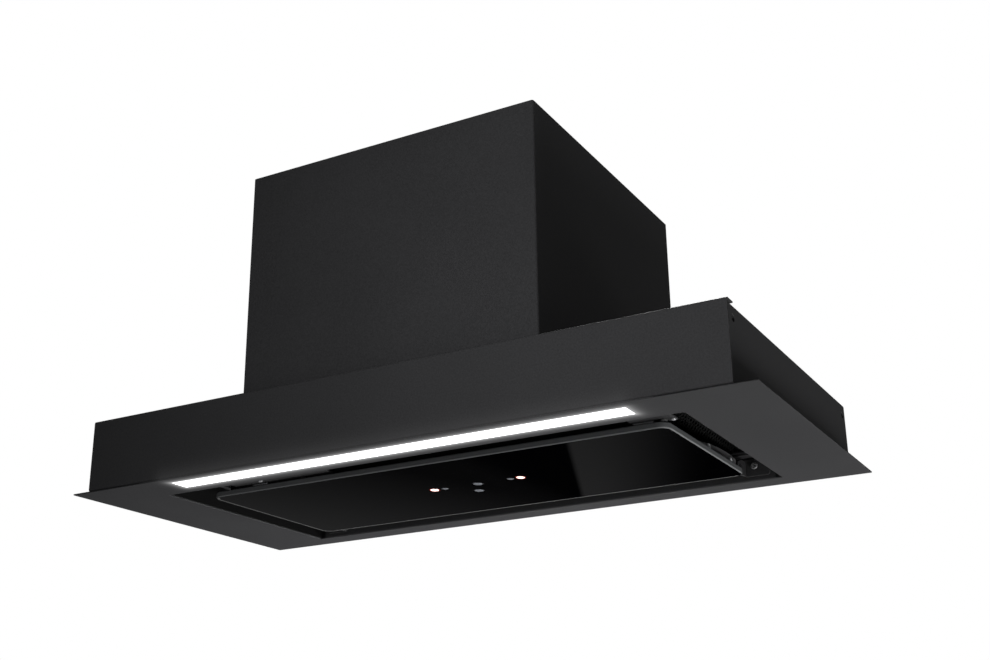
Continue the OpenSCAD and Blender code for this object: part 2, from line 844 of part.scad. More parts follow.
module motor_body() {
    color(zinc) at_blower() translate([0, 0, motor_x0]) difference() {
        union() {
            translate([0, 0, 3]) cylinder(h = motor_l - 6, r = motor_r);
            cylinder(h = motor_l, r = motor_r - 5);
            // Joint band of the two motor shields
            translate([0, 0, motor_l / 2 - 2]) cylinder(h = 4, r = motor_r + 1);
        }
        // Bore and bearing seats; the rear end is closed
        translate([0, 0, motor_cap]) cylinder(h = motor_l, r = shaft_r + 0.6);
        translate([0, 0, motor_cap]) cylinder(h = bearing_l, r = bearing_r);
        translate([0, 0, motor_l - bearing_l]) cylinder(h = bearing_l + 1, r = bearing_r);
    }
}

module motor_bearings() {
    color("peru") at_blower() for (z = bearing_x) {
        translate([0, 0, z]) difference() {
            cylinder(h = bearing_l, r = bearing_r);
            translate([0, 0, -1]) cylinder(h = bearing_l + 2, r = shaft_r + run_clear);
        }
    }
}

module motor_shaft() {
    start = motor_x0 + motor_cap + 0.5;
    color(bright_steel) at_blower() translate([0, 0, start])
        cylinder(h = hub_end - 1 - hub_cap - seam - start, r = shaft_r);
}

module motor_bracket() {
    arm_w = 12;
    color(zinc) at_blower() translate([0, 0, motor_x0 - bracket_t]) difference() {
        union() {
            cylinder(h = bracket_t, r = motor_r / 2 + 2);
            for (a = [0, 120, 240]) {
                rotate([0, 0, a]) {
                    translate([motor_r / 3, -arm_w / 2, 0]) cube([bush_at - motor_r / 3, arm_w, bracket_t]);
                    translate([bush_at, 0, 0]) cylinder(h = bracket_t, r = bush_r + 2);
                }
            }
        }
        translate([0, 0, -1]) cylinder(h = bracket_t + 2, r = bearing_r + 1);
    }
}

module motor_bushes() {
    color(black_plastic) at_blower() for (a = [0, 120, 240]) {
        rotate([0, 0, a]) translate([bush_at, 0, motor_x0]) {
            cylinder(h = -motor_x0 - scroll_hw, r = bush_r);
        }
    }
}

module capacitor() {
    color(grey_plastic) translate([-housing_x + 30, back_y - shell_t, housing_z1 - 45]) rotate([90, 0, 0]) {
        cylinder(h = capacitor_l, r = capacitor_r);
        translate([0, 0, capacitor_l]) cylinder(h = 3, r = capacitor_r - 4);
    }
}

// Grease filters and the frame that holds them

module filter_frame() {
    wall_top = filter_top + 0.3;
    color(black_paint) difference() {
        union() {
            block(-frame_x, frame_x, frame_y0, frame_y1, frame_z, frame_z + frame_t);
            for (side = [-1, 1]) {
                x0 = side > 0 ? window_x0 : -window_x1;
                x1 = side > 0 ? window_x1 : -window_x0;
                wall_ring(x0, x1, window_y0, window_y1, frame_t, frame_z, wall_top + frame_t);
                // Stop that the filter is pushed up against
                wall_ring(x0 + ledge_w, x1 - ledge_w, window_y0 + ledge_w, window_y1 - ledge_w,
                    ledge_w, wall_top, wall_top + frame_t);
            }
        }
        for (side = [-1, 1]) {
            x0 = side > 0 ? window_x0 : -window_x1;
            x1 = side > 0 ? window_x1 : -window_x0;
            // The lower ledge stays only under the filter's rear rail
            block(x0, x1, window_y0, window_y1 - ledge_w, frame_z - 1, frame_z + frame_t + 1);
            // Slot for the latch's tongue
            block(side * filter_mid - latch_w / 2 - latch_fit, side * filter_mid + latch_w / 2 + latch_fit,
                window_y0 - frame_t - 1, window_y0 + 1, frame_z + frame_t, filter_z + 3);
        }
    }
}

// Rail frame of the right filter
module filter_rail() {
    color(zinc) difference() {
        union() {
            difference() {
                block(filter_x0, filter_x1, filter_y0, filter_y1, filter_z, filter_top);
                block(filter_x0 + rail_w, filter_x1 - rail_w, filter_y0 + rail_w, filter_y1 - rail_w,
                    filter_z - 1, filter_top + 1);
                // Groove that holds the mesh
                block(filter_x0 + rail_t, filter_x1 - rail_t, filter_y0 + rail_t + rail_w, filter_y1 - rail_t,
                    filter_z + rail_t, filter_top - rail_t);
            }
            block(filter_mid - latch_block[0], filter_mid + latch_block[0],
                filter_y0, filter_y0 + latch_block[1], filter_z, filter_top);
        }
        // Pocket for the latch and its spring, open below and in front
        block(filter_mid - latch_w / 2 - latch_fit, filter_mid + latch_w / 2 + latch_fit,
            filter_y0 - 1, latch_back + spring_l, filter_z - 1, filter_z + latch_h + 2 * latch_fit);
    }
}

module filter_rail_right() {
    filter_rail();
}

module filter_rail_left() {
    mirror([1, 0, 0]) filter_rail();
}

// Pleated sheet of expanded metal in the right filter
module filter_mesh() {
    x0 = filter_x0 + rail_t + 0.3;
    x1 = filter_x1 - rail_t - 0.3;
    y0 = filter_y0 + rail_t + rail_w + 0.3;
    y1 = filter_y1 - rail_t - 0.3;
    low = filter_z + rail_t + 0.3;
    high = filter_top - rail_t - 0.3;
    n = 2 * floor((x1 - x0) / pleat);
    step = (x1 - x0) / n;
    thick = 0.9;
    lower = [for (i = [0 : n]) [x0 + i * step, (i % 2 == 0) ? low : high - thick]];
    upper = [for (i = [n : -1 : 0]) [x0 + i * step, (i % 2 == 0) ? low + thick : high]];
    color(bright_steel) difference() {
        translate([0, y1, 0]) rotate([90, 0, 0]) linear_extrude(y1 - y0) polygon(concat(lower, upper));
        block(filter_mid - latch_block[0] - 0.3, filter_mid + latch_block[0] + 0.3,
            y0 - 1, filter_y0 + latch_block[1] + 0.3, low - 1, high + 1);
    }
}

module filter_mesh_right() {
    filter_mesh();
}

module filter_mesh_left() {
    mirror([1, 0, 0]) filter_mesh();
}

module filter_latch() {
    z0 = filter_z + latch_fit;
    color(black_plastic) union() {
        // Tongue over the frame's front edge
        block(filter_mid - latch_w / 2, filter_mid + latch_w / 2,
            filter_y0 - tongue_l, latch_back, z0, z0 + 2);
        block(filter_mid - latch_w / 2, filter_mid + latch_w / 2, filter_y0 + rail_w - 1, latch_back,
            z0, z0 + latch_h);
        // Grip for the finger
        block(filter_mid - latch_w / 2 + 1, filter_mid + latch_w / 2 - 1,
            filter_y0 + rail_w, filter_y0 + rail_w + 3, filter_z - 2.5, z0 + 1);
    }
}

module filter_latch_right() {
    filter_latch();
}

module filter_latch_left() {
    mirror([1, 0, 0]) filter_latch();
}

module latch_spring() {
    z = filter_z + latch_fit + latch_h / 2;
    color(bright_steel) difference() {
        rod_y(latch_back, latch_back + spring_l, filter_mid, z, spring_r);
        rod_y(latch_back - 1, latch_back + spring_l + 1, filter_mid, z, spring_r - 0.6);
    }
}

module latch_spring_right() {
    latch_spring();
}

module latch_spring_left() {
    mirror([1, 0, 0]) latch_spring();
}

// Glass panel

module window_holes(clear) {
    for (p = lit_places) {
        translate([p[0], front_y + p[1], -1]) cylinder(h = 30, r = lit_r + clear);
    }
    for (p = dim_places) {
        translate([p[0], front_y + p[1], -1]) cylinder(h = 30, r = dim_r + clear);
    }
}

module glass_pane() {
    color(dark_glass) difference() {
        translate([0, glass_y, 0]) linear_extrude(glass_t) rounded_rect(glass_w, glass_d, glass_r);
        window_holes(window_clear);
    }
}

module panel_tray() {
    color(black_paint) difference() {
        union() {
            block(-tray_x, tray_x, tray_y0, tray_y1, glass_t, tray_z);
            wall_ring(-tray_x + tray_t, tray_x - tray_t, tray_y0 + tray_t, tray_y1 - tray_t, tray_t,
                glass_t, tray_top);
        }
        window_holes(window_clear);
        for (side = [-1, 1], y = arm_screws) {
            rod_x(side * tray_x - 5, side * tray_x + 5, y, tray_top - 3, screw_r);
        }
    }
}

// Right hinge arm: a flat lever with a bowed top edge, screwed to the tray's side
module hinge_arm() {
    low = tray_z + seam;
    front = glass_y1 - 88;
    steps = 12;
    bow = [for (i = [0 : steps])
        [front + (pivot_y - front) * i / steps,
            low + 4 + (tray_top - low + 0.5) * sin(120 * i / steps) * 0.8]];
    color(bright_steel) translate([tray_x, 0, 0]) rotate([90, 0, 90]) difference() {
        union() {
            linear_extrude(hinge_t) polygon(concat([[front, low]], bow, [[pivot_y, low]]));
            translate([pivot_y, pivot_z, 0]) cylinder(h = hinge_t, r = knuckle_r);
        }
        translate([pivot_y, pivot_z, -1]) cylinder(h = hinge_t + 2, r = pin_r + run_clear);
        for (y = arm_screws) {
            translate([y, tray_top - 3, -1]) cylinder(h = hinge_t + 2, r = screw_r);
        }
    }
}

module hinge_arm_right() {
    hinge_arm();
}

module hinge_arm_left() {
    mirror([1, 0, 0]) hinge_arm();
}

// Right hinge bracket: a plate on the rear rim with an ear that holds the pin
module hinge_bracket() {
    plate_y = open_y1 - hinge_t;
    ear_low = pivot_z - knuckle_r / 2;
    color(zinc) difference() {
        union() {
            block(ear_x, ear_x + bracket_w, plate_y, open_y1, 4, rim_h - 1.5);
            block(ear_x, ear_x + hinge_t, pivot_y, open_y1, ear_low, rim_h - 3);
            rod_x(ear_x, ear_x + hinge_t, pivot_y, pivot_z, knuckle_r);
        }
        rod_x(ear_x - 1, ear_x + hinge_t + 1, pivot_y, pivot_z, pin_r);
        rod_y(plate_y - 1, open_y1 + 1, lip_screw_x, lip_screw_z, screw_r);
    }
}

module hinge_bracket_right() {
    hinge_bracket();
}

module hinge_bracket_left() {
    mirror([1, 0, 0]) hinge_bracket();
}

module hinge_pins() {
    color(bright_steel) for (side = [0, 1]) {
        mirror([side, 0, 0]) {
            rod_x(tray_x - 0.3, ear_x + hinge_t + 0.5, pivot_y, pivot_z, pin_r);
            rod_x(tray_x - 1.8, tray_x - 0.3, pivot_y, pivot_z, pin_r + 1.5);
            rod_x(ear_x + hinge_t, ear_x + hinge_t + 1, pivot_y, pivot_z, pin_r + 1);
        }
    }
}

module panel_magnets() {
    color(bright_steel) for (x = [magnet_left, magnet_right]) {
        block(x - magnet_w / 2, x + magnet_w / 2,
            glass_y0 + 1, glass_y0 + 1 + magnet_d, glass_t, glass_t + magnet_t);
    }
}

// Angle on the front rim that a magnet pulls up against
module catch_bracket(ends, holes) {
    color(black_paint) difference() {
        union() {
            block(ends[0], ends[1], open_y0, catch_back, catch_z, catch_z + catch_t);
            block(ends[0], ends[1], open_y0, open_y0 + catch_t, catch_z, rim_h - 3);
        }
        for (x = holes) {
            translate([x, catch_back - 5, catch_z - 1]) cylinder(h = catch_t + 2, r = 1.6);
        }
    }
}

module catch_bracket_left() {
    catch_bracket(catch_left, catch_left_holes);
}

module catch_bracket_right() {
    catch_bracket(catch_right, []);
}

// Soft stops under the catch brackets, just above the closed glass
module panel_bumpers() {
    color(black_plastic) for (x = bumper_places) {
        translate([x, glass_y0 + bumper_r + 1, glass_t + seam])
            cylinder(h = catch_z - glass_t - seam, r = bumper_r);
    }
}

// Sensor electronics

module sensor_board() {
    color(board_green) difference() {
        union() {
            block(board_x0, board_x1, board_y0, board_y1, board_z, board_z + board_t);
            for (x = [board_x0 + 6, board_x1 - 6], y = [board_y0 + 5, board_y1 - 5]) {
                translate([x, y, tray_z]) cylinder(h = board_z - tray_z, r = 3);
            }
            for (p = [[-12, 155], [22, 160], [40, 168]]) {
                translate([p[0], front_y + p[1], board_z + board_t]) cube([9, 7, 1.4]);
            }
            // Socket of the cable
            block(board_x0, board_x0 + 6, socket_y - 4, socket_y + 4, board_z, board_z + board_t + 3.4);
        }
    }
}

module window_plug(place, r) {
    translate([place[0], front_y + place[1], guide_recess]) cylinder(h = board_z - guide_recess, r = r);
}

module sensor_windows_lit() {
    color(lamp_white) for (p = lit_places) {
        window_plug(p, lit_r);
    }
}

module sensor_windows_dim() {
    color(grey_plastic) for (p = dim_places) {
        window_plug(p, dim_r);
    }
}

module sensor_cable() {
    color(black_plastic) lead(sensor_route, 1.6);
}

// Light strip

module lamp_housing() {
    x = lamp_x + lamp_lip + lamp_fit;
    y0 = lamp_y0 - lamp_lip - lamp_fit;
    y1 = lamp_y1 + lamp_lip + lamp_fit;
    color(zinc) union() {
        wall_ring(-x, x, y0, y1, lamp_wall, sheet, lamp_top + lamp_wall);
        block(-x, x, y0, y1, lamp_top, lamp_top + lamp_wall);
    }
}

module lamp_board() {
    color(lamp_white) block(-lamp_x, lamp_x, lamp_y0 + 3, lamp_y1 - 3, lamp_top - 1.2, lamp_top);
}

module lamp_chips() {
    pitch = lamp_l / chip_n;
    y = (lamp_y0 + lamp_y1) / 2;
    color("khaki") for (i = [0 : chip_n - 1]) {
        x = -lamp_x + pitch * (i + 0.5);
        block(x - chip_l / 2, x + chip_l / 2, y - 1.5, y + 1.5, lamp_top - 2, lamp_top - 1.2);
    }
}

module lamp_diffuser() {
    color(lamp_white) union() {
        block(-lamp_x, lamp_x, lamp_y0, lamp_y1, 0, sheet + 1.5);
        block(-lamp_x - lamp_lip, lamp_x + lamp_lip,
            lamp_y0 - lamp_lip, lamp_y1 + lamp_lip, sheet, sheet + 1.5);
    }
}

module lamp_driver() {
    color(black_plastic) translate([driver_x0, driver_y0, deck_z]) {
        cube(driver_size);
        translate([-4, 8, 0]) cube([driver_size[0] + 8, driver_size[1] - 16, 2]);
    }
}

// Control electronics

module control_box() {
    color(black_plastic) difference() {
        translate([control_x0, control_y0, deck_z]) difference() {
            cube([control_w, control_d, control_h]);
            translate([control_wall, control_wall, control_wall])
                cube([control_w - 2 * control_wall, control_d - 2 * control_wall, control_h]);
        }
        gland_hole();
        rod_x(control_x1 - 5, control_x1 + 5, 70, 76, 4);
        rod_y(control_y1 - 5, control_y1 + 5, cable_x + 2, 73, 3);
        rod_y(control_y0 - 5, control_y0 + 5, driver_lead_x, driver_lead_z, 3);
    }
}

module gland_hole() {
    rod_y(control_y1 - 5, control_y1 + 5, control_x0 + 22, deck_z + 16, 8);
}

module control_lid() {
    color(black_plastic) translate([control_x0, control_y0, deck_z + control_h]) union() {
        cube([control_w, control_d, control_wall]);
        for (x = [8, control_w - 18]) {
            translate([x, 30, control_wall]) cube([10, control_d - 60, 1.2]);
        }
    }
}

module control_board() {
    color(board_green) translate([control_x0 + 6, control_y0 + 8, deck_z + control_wall]) union() {
        translate([0, 0, 3]) cube([control_w - 12, control_d - 26, 1.6]);
        for (x = [4, control_w - 16], y = [4, control_d - 30]) {
            translate([x, y, 0]) cylinder(h = 3, r = 3);
        }
        translate([12, 14, 4.6]) cube([28, 24, 19]);
        translate([control_w / 2 - 6, 12, 4.6]) cube([15, 19, 15]);
        translate([control_w / 2 + 14, 12, 4.6]) cube([15, 19, 15]);
        translate([control_w / 2, control_d / 2 - 7, 4.6]) cylinder(h = 16, r = 6);
    }
    // Plugs of the sensor cable and of the motor lead
    color(lamp_white) {
        block(cable_x - 5, cable_x + 5, control_y1 - 24, control_y1 - 18, deck_z + control_wall + 4, 75);
        block(motor_plug_x - 10, motor_plug_x, 64, 76, deck_z + control_wall + 4, 81);
    }
}

module terminal_block() {
    color(lamp_white) translate([control_x0 + 8, control_y0 + control_d - 30, deck_z + control_wall + 4.6])
        difference() {
            cube([34, 12, 12]);
            for (i = [0 : 2]) {
                translate([6 + 11 * i, 6, 5]) cylinder(h = 8, r = 2.6);
            }
        }
}

module cable_gland() {
    y = control_y1;
    x = control_x0 + 22;
    z = deck_z + 16;
    color(grey_plastic) difference() {
        union() {
            rod_y(y - control_wall - 3, y, x, z, 8);
            rod_y(y, y + 4, x, z, 11);
            rod_y(y + 4, y + 14, x, z, 9);
            translate([x, y - control_wall, z]) rotate([90, 0, 0]) cylinder(h = 3, r = 11, $fn = 6);
        }
        rod_y(y - 10, y + 20, x, z, cable_r);
    }
}

module motor_lead() {
    color(black_plastic) lead(motor_route, 3.2);
}

module lamp_lead() {
    color(black_plastic) {
        lead(lamp_route, 2.2);
        lead(driver_route, 2.2);
    }
}

// Fasteners

module shell_screws() {
    color(zinc) {
        for (side = [-1, 1], y = deck_screws()) {
            translate([side * (side_x - return_w / 2), y, canopy_h]) pan_screw(6);
        }
        for (p = housing_foot_screws()) {
            translate([p[0], p[1], deck_z + shell_t]) pan_screw(6);
        }
        for (p = housing_back_screws()) {
            translate([p[0], back_y, p[1]]) rotate([-90, 0, 0]) pan_screw(5);
        }
        for (p = housing_top_screws()) {
            translate([p[0], p[1], top_z]) pan_screw(5);
        }
        for (a = [45 : 90 : 315]) {
            translate([0, collar_y, top_z + collar_flange_t]) rotate([0, 0, a])
                translate([collar_screws, 0, 0]) pan_screw(7);
        }
        // Screws of the hinge brackets, in the rear rim
        for (side = [-1, 1]) {
            translate([side * lip_screw_x, open_y1 - hinge_t, lip_screw_z]) rotate([90, 0, 0]) pan_screw(5);
        }
    }
}

module hinge_screws() {
    color(bright_steel) for (side = [0, 1]) {
        mirror([side, 0, 0]) {
            for (y = arm_screws) {
                translate([tray_x + hinge_t, y, tray_top - 3]) rotate([0, 90, 0]) pan_screw(5);
            }
        }
    }
}

bottom_plate();
front_panel();
side_panel_left();
side_panel_right();
rear_panel();
top_deck();
housing_shell();
housing_back();
housing_top();
outlet_collar();
damper_pin();
damper_flap_left();
damper_flap_right();
scroll_left();
scroll_right();
impeller();
motor_body();
motor_shaft();
motor_bearings();
motor_bracket();
motor_bushes();
capacitor();
filter_frame();
filter_rail_left();
filter_rail_right();
filter_mesh_left();
filter_mesh_right();
filter_latch_left();
filter_latch_right();
latch_spring_left();
latch_spring_right();
glass_pane();
panel_tray();
hinge_arm_left();
hinge_arm_right();
hinge_bracket_left();
hinge_bracket_right();
hinge_pins();
panel_magnets();
catch_bracket_left();
catch_bracket_right();
panel_bumpers();
sensor_board();
sensor_windows_lit();
sensor_windows_dim();
sensor_cable();
lamp_housing();
lamp_board();
lamp_chips();
lamp_diffuser();
lamp_driver();
control_box();
control_lid();
control_board();
terminal_block();
cable_gland();
motor_lead();
lamp_lead();
shell_screws();
hinge_screws();
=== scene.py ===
"""Looks of a built-in range hood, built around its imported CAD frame.

Lengths here are millimetres in the part's own frame: +X runs right, +Y to the wall and +Z up,
with the origin at the centre of the underside. A mesh gets metres when it is made.
"""
from __future__ import annotations

import json
import logging
import math
from dataclasses import dataclass
from enum import Enum
from typing import Iterable, Sequence

import bmesh
import bpy
import numpy as np
from mathutils import Matrix, Vector
from mathutils.geometry import delaunay_2d_cdt

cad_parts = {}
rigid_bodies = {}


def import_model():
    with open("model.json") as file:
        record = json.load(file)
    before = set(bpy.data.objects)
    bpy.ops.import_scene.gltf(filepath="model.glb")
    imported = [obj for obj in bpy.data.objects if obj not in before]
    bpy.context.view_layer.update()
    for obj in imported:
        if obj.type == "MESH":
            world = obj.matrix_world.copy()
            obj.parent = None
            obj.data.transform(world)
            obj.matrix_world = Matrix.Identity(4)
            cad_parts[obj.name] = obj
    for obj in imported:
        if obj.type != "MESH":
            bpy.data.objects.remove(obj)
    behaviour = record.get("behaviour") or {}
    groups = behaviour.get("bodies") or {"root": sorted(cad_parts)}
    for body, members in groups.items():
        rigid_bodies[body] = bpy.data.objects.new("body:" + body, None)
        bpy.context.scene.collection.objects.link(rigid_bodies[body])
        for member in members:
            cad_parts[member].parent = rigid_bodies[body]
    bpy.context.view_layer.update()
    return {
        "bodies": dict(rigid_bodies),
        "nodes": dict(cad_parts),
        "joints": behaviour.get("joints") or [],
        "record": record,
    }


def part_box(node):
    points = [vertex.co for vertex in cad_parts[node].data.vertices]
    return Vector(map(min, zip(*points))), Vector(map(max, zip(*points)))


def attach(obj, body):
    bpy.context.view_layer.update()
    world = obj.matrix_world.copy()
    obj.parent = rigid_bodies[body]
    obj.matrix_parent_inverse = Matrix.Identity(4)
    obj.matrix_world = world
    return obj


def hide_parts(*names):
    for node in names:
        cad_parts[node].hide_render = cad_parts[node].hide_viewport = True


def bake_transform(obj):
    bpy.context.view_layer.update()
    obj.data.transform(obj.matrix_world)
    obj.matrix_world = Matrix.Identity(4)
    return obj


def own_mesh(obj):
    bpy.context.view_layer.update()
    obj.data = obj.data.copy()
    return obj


Array = np.ndarray
Colour = tuple[float, float, float]
Points = Sequence[Sequence[float]]
MM = 0.001
SHARP_ANGLE = math.radians(35)
LOG = logging.getLogger("range_hood")


# Shapes


@dataclass
class Shape:
    """A closed surface: points in millimetres, and faces that list their points."""

    points: Array
    faces: list[Sequence[int]]

    def moved(self, x: float = 0.0, y: float = 0.0, z: float = 0.0) -> "Shape":
        """Returns the shape shifted by x, y and z."""
        return Shape(self.points + np.array([x, y, z]), self.faces)

    def scaled(self, *factors: float) -> "Shape":
        """Returns the shape scaled along X, Y and Z."""
        return Shape(self.points * factors, self.faces)

    def axes(self, *order: int) -> "Shape":
        """Returns the shape with its X, Y and Z read from the axes in the order given."""
        return Shape(self.points[:, order], self.faces)

    def turned(self, axis: str, degrees: float) -> "Shape":
        """Returns the shape turned right-handed about an axis through the origin."""
        return Shape(self.points @ np.array(Matrix.Rotation(math.radians(degrees), 3, axis)).T, self.faces)

    def mirrored(self) -> "Shape":
        """Returns the shape mirrored left to right, with its faces turned round again."""
        return Shape(self.points * (-1, 1, 1), [tuple(face)[::-1] for face in self.faces])


def joined(shapes: Iterable[Shape]) -> Shape:
    """Joins shapes into one.

    Args:
        shapes: The shapes, which may lie apart.

    Returns:
        One shape with all their faces.
    """
    points, faces, start = [], [], 0
    for shape in shapes:
        points.append(shape.points)
        faces += [tuple(i + start for i in face) for face in shape.faces]
        start += len(shape.points)
    return Shape(np.vstack(points), faces)


def both_sides(shape: Shape) -> Shape:
    """Returns the shape together with its mirror image."""
    return joined([shape, shape.mirrored()])


def sided(*shapes: Shape) -> list[tuple[str, list[Shape]]]:
    """Returns the shapes under the name right, and their mirror images under left."""
    return [("right", list(shapes)), ("left", [shape.mirrored() for shape in shapes])]


def loft(rings: Array, loop: bool = False) -> Shape:
    """Skins a grid of rings: quads join ring i to ring i + 1 at equal places.

    Args:
        rings: Points of shape (rings, points in a ring, 3).
        loop: Whether the last ring joins the first; if not, both ends get a cap.

    Returns:
        The closed shape.
    """
    count, sides = rings.shape[:2]
    ids = np.arange(count * sides).reshape(count, sides)
    near = ids if loop else ids[:-1]
    far = np.roll(ids, -1, 0) if loop else ids[1:]
    quads = np.stack([near, np.roll(near, -1, 1), np.roll(far, -1, 1), far], -1).reshape(-1, 4)
    faces: list[Sequence[int]] = [tuple(q) for q in quads.tolist()]
    if not loop:
        faces += [tuple(ids[0][::-1].tolist()), tuple(ids[-1].tolist())]
    return Shape(rings.reshape(-1, 3).astype(float), faces)


def steps_round(n: int) -> Array:
    """Returns n even steps of a full turn, in radians."""
    return np.linspace(0, 2 * math.pi, n, endpoint=False)


def polar(r: float | Array, a: float | Array) -> Array:
    """Returns the points (r cos a, r sin a)."""
    return np.stack([r * np.cos(a), r * np.sin(a)], -1)


def circle(r: float, n: int = 24, x: float = 0.0, y: float = 0.0) -> Array:
    """Outline of a circle about (x, y), in n steps."""
    return polar(r, steps_round(n)) + (x, y)


def arc(x: float, y: float, r: float, start: float, end: float, n: int) -> Array:
    """Returns n points on a circle about (x, y), from one angle in degrees to another."""
    return polar(r, np.radians(np.linspace(start, end, n))) + (x, y)


def at_level(outline: Array, z: float) -> Array:
    """Returns a flat outline as points at the height z."""
    return np.column_stack([outline, np.full(len(outline), z)])


def soft_rect(x0: float, x1: float, y0: float, y1: float, r: float = 0.0, n: int = 5) -> Array:
    """Outline of a rectangle whose corners are quarter circles.

    Args:
        x0, x1: Left and right edge.
        y0, y1: Lower and upper edge.
        r: Radius of the corners; 0 leaves them sharp.
        n: Points on each corner.

    Returns:
        Points counter-clockwise, from the upper right corner on.
    """
    if r <= 0:
        return np.array([[x1, y1], [x0, y1], [x0, y0], [x1, y0]], float)
    a = np.linspace(0, math.pi / 2, n)
    centres = ((x1 - r, y1 - r), (x0 + r, y1 - r), (x0 + r, y0 + r), (x1 - r, y0 + r))
    return np.vstack([polar(r, a + k * math.pi / 2) + centre for k, centre in enumerate(centres)])


def grown(loop: Array, by: float) -> Array:
    """Moves a counter-clockwise outline outwards along its mitred corners.

    Args:
        loop: The outline's points.
        by: Distance; a negative one shrinks the outline.

    Returns:
        As many points, each moved by `by` across both of its edges.
    """
    ahead = np.roll(loop, -1, 0) - loop
    ahead /= np.linalg.norm(ahead, axis=1)[:, None] + 1e-12
    out_a = np.stack([ahead[:, 1], -ahead[:, 0]], 1)
    out_b = np.roll(out_a, 1, 0)
    mitre = (out_a + out_b) / (1 + (out_a * out_b).sum(1))[:, None].clip(0.3)
    return loop + by * mitre


def inside(points: Array, loop: Array) -> Array:
    """Tells which points lie in a loop, by counting its edges that a ray along +X crosses.

    Args:
        points: The points to test.
        loop: The loop's points.

    Returns:
        True for each point that lies inside.
    """
    x, y = points[:, 0][:, None], points[:, 1][:, None]
    x0, y0 = loop[:, 0], loop[:, 1]
    x1, y1 = np.roll(x0, -1), np.roll(y0, -1)
    crosses = ((y0 > y) != (y1 > y)) & (x < (x1 - x0) * (y - y0) / (y1 - y0 + 1e-15) + x0)
    return crosses.sum(1) % 2 == 1


def plate(outline: Array, z0: float, z1: float, holes: Sequence[Array] = (), edge: float = 0.3) -> Shape:
    """Flat plate with holes and chamfered edges.

    Its two faces are the outline's triangles, and each loop carries a wall whose section is
    the chamfer, the straight edge and the other chamfer.

    Args:
        outline: Outer loop, counter-clockwise.
        z0, z1: Level of the lower and of the upper face.
        holes: Loops of the holes, counter-clockwise.
        edge: Width of the chamfers.

    Returns:
        The closed plate.
    """
    loops = [(outline, -edge)] + [(hole, edge) for hole in holes]
    small = [grown(loop, by) for loop, by in loops]
    starts = np.cumsum([0] + [len(loop) for loop in small])
    ties = [(a + i, a + (i + 1) % len(loop)) for a, loop in zip(starts, small) for i in range(len(loop))]
    flat, wide = np.vstack(small), np.vstack([loop for loop, _ in loops])
    found, _, triangles, sources, *_ = delaunay_2d_cdt([Vector(p) for p in flat], ties, [], 0, 1e-6)
    place = {i: given[0] for i, given in enumerate(sources) if given}
    corners = np.array([t for t in triangles if all(i in place for i in t)])
    middle = np.array([tuple(p) for p in found])[corners].mean(1)
    keep = inside(middle, small[0])
    for loop in small[1:]:
        keep &= ~inside(middle, loop)
    lower = np.array([[place[i] for i in t] for t in corners[keep]])
    size = len(flat)
    faces = [tuple(t[::-1]) for t in lower.tolist()] + [tuple(t) for t in (lower + 3 * size).tolist()]
    for k, (a, loop) in enumerate(zip(starts, small)):
        i = a + np.arange(len(loop))
        j = np.roll(i, -1)
        for layer in size * np.arange(3):
            quad = np.stack([i + layer, j + layer, j + layer + size, i + layer + size], 1)
            faces += [tuple(q) for q in (quad if k == 0 else quad[:, ::-1]).tolist()]
    layers = ((flat, z0), (wide, z0 + edge), (wide, z1 - edge), (flat, z1))
    return Shape(np.vstack([at_level(*layer) for layer in layers]), faces)


def soft_box(x0: float, x1: float, y0: float, y1: float, z0: float, z1: float, r: float = 1.0) -> Shape:
    """Block with round upright corners and rounded rims.

    The outline shrinks over a quarter circle at both ends: by r (1 - sin a) at the height r (1 - cos a).

    Args:
        x0, x1: Left and right side.
        y0, y1: Near and far side.
        z0, z1: Lower and upper face.
        r: Radius of every edge.

    Returns:
        The closed block.
    """
    a = np.linspace(0, math.pi / 2, 4)
    shrink, rise = r * (1 - np.sin(a)), r * (1 - np.cos(a))
    rings = zip([*shrink, *shrink[::-1]], [*(z0 + rise), *(z1 - rise[::-1])])
    return loft(np.array([at_level(soft_rect(x0 + s, x1 - s, y0 + s, y1 - s, max(1.2 * r - s, 0.1), 4), z)
                          for s, z in rings]))


def turned_rings(r: Array, h: Array, n: int) -> Array:
    """Returns a ring of n points (r cos a, r sin a, h) for each row of r and h."""
    a = steps_round(n)
    return np.dstack([r * np.cos(a), r * np.sin(a), h + 0 * a])


def lathe(profile: Points, n: int = 48, closed: bool = False) -> Shape:
    """Turns a profile about Z.

    Args:
        profile: Points of (radius, height) from the lower end to the upper one, or round a section.
        n: Steps round the axis.
        closed: Whether the profile is a closed loop, which makes a ring.

    Returns:
        The closed shape.
    """
    line = np.array(profile, float)
    return loft(turned_rings(line[:, :1].clip(0.001), line[:, 1:], n), loop=closed)


def rod(r: float, h0: float, h1: float, n: int, rim: tuple[float, float]) -> Shape:
    """Round bar about Z from h0 to h1, with ends chamfered by rim[0] across and rim[1] along."""
    a, b = rim
    return lathe([(0, h0), (r - a, h0), (r, h0 + b), (r, h1 - b), (r - a, h1), (0, h1)], n)


def along(shape: Shape, axis: str, centre: Sequence[float]) -> Shape:
    """Lays a shape built along Z on another axis, such as x or -x, with its origin at centre."""
    turns = {"x": ("Y", 90), "-x": ("Y", -90), "y": ("X", -90), "-y": ("X", 90), "-z": ("X", 180)}
    return shape.turned(*turns[axis]).moved(*centre)


